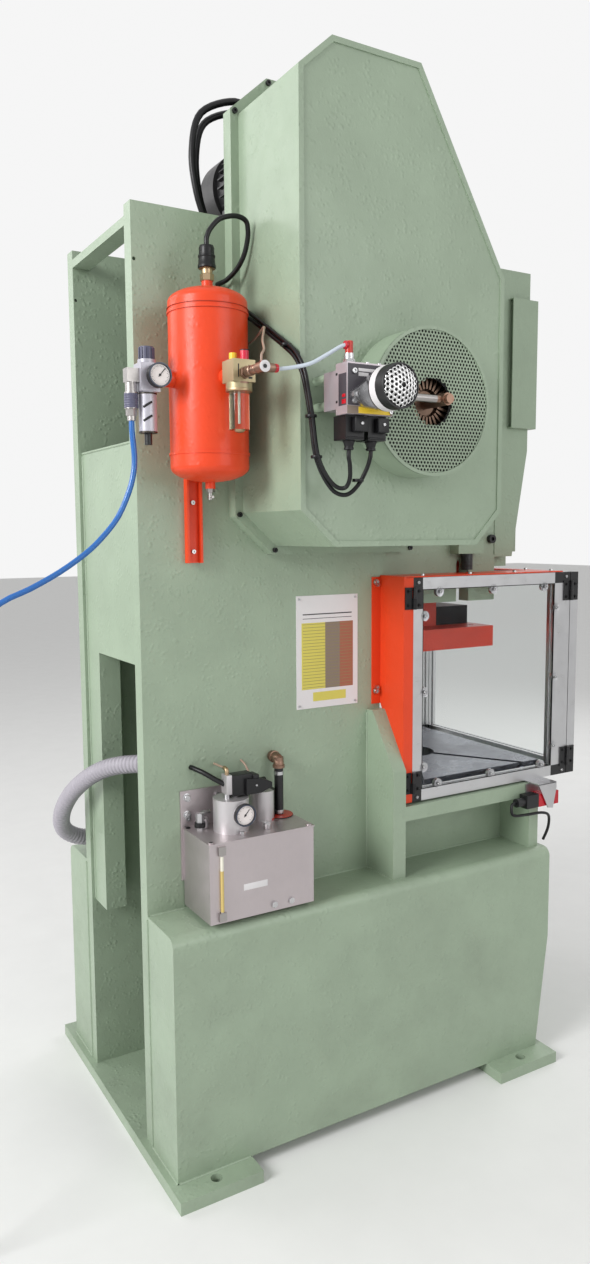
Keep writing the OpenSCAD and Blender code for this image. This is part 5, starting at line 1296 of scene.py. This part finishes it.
    new("conduit", "Conduit sheath", Finish(colours.conduit, 0.0, 0.5), mottle=0.05, grime=0.2)
    new("hose", "Hose sheath", Finish(colours.hose, 0.0, 0.28), mottle=0.05, coat=0.3)
    new("signal", "Signal moulding", Finish(colours.signal, 0.0, 0.3), mottle=0.05)
    new("yellow", "Yellow field", YELLOW, mottle=0.05)
    new("white", "White print", Finish((0.70, 0.68, 0.69), 0.0, 0.45), mottle=0.03)
    new("dial", "Dial face", Finish((0.84, 0.78, 0.76)), mottle=0.02)
    new("screws", "Socket screws", PLASTIC, [
        ((-260, -60, 1040), (-220, 160, 1350), STEEL), ((-260, 400, 1440), (-220, 450, 1600), STEEL),
        ((-270, -120, 1080), (270, -60, 1380), STEEL), ((-260, 340, 800), (-220, 480, 900), STEEL)])
    for key, name, rgb in (
            ("gold", "gold field", colours.plate_gold), ("grey", "grey field", (0.22, 0.17, 0.13)),
            ("rust", "red field", colours.plate_red), ("dark", "dark rule", (0.05, 0.05, 0.05)),
            ("line", "fine rule", (0.24, 0.20, 0.08))):
        new("plate_" + key, "Plate " + name, Finish(rgb), mottle=0.03)
    for key, side in (("left", -1), ("right", 1)):
        new(key + "_profile", key.capitalize() + " profile", alloy, door_zones(side),
            mottle=0.03, grain=0.05, brushed=ALONG_Y)
    corners = [((x0, -740, z0), (x1, -690, z1), PLASTIC) for x0, x1 in ((-400, -300.8), (300.8, 400))
               for z0, z1 in ((790, 830), (1354, 1394))]
    new("front_profile", "Front profile", alloy, corners + [
        ((-360, -740, 790), (-331.3, -690, 1400), PLASTIC)], mottle=0.03, grain=0.05)
    new("milky", "Milky plastic", milky, mottle=0.04)
    new("tubes", "Air tubes", Finish((0.36, 0.25, 0.19), 0.0, 0.35), [
        ((-640, 250, 1800), (-568, 394.6, 1890), milky)], mottle=0.06)
    MATERIALS["clear_pane"] = make_clear("Clear sheet", (0.97, 0.985, 0.98))
    MATERIALS["clear_nut"] = make_clear("Clear nut", (0.93, 0.93, 0.94), 0.06, 0.05, 1.4)
    MATERIALS["clear_bowl"] = make_clear("Clear bowl", (0.94, 0.84, 0.62), 0.04, 0.04, 1.35)


OPERATORS = (PRESS_OT_stage, PRESS_OT_air_hose, PRESS_OT_finishes, PRESS_OT_cables, PRESS_OT_conduit,
             PRESS_OT_guard_cap, PRESS_OT_data_plate, PRESS_OT_gauges, PRESS_OT_welds, PRESS_OT_valve,
             PRESS_OT_air_service, PRESS_OT_oil_unit, PRESS_OT_guard_fittings)
CLASSES = (PressColours, PressSizes, *OPERATORS, PRESS_PT_panel)


def register():
    for item in CLASSES:
        bpy.utils.register_class(item)
    bpy.types.Scene.press_colours = PointerProperty(type=PressColours)
    bpy.types.Scene.press_sizes = PointerProperty(type=PressSizes)


def unregister():
    del bpy.types.Scene.press_sizes
    del bpy.types.Scene.press_colours
    for item in reversed(CLASSES):
        bpy.utils.unregister_class(item)


def main():
    register()
    for make_group in (make_peel_group, make_grime_group, make_brushed_group, make_zone_group):
        make_group()
    build_materials(bpy.context.scene.press_colours, bpy.context.scene.press_sizes)
    for operator in OPERATORS:
        group, name = operator.bl_idname.split(".")
        result = getattr(getattr(bpy.ops, group), name)()
        if "FINISHED" not in result:
            raise RuntimeError(operator.bl_label + " didn't finish")


if __name__ == "__main__":
    main()
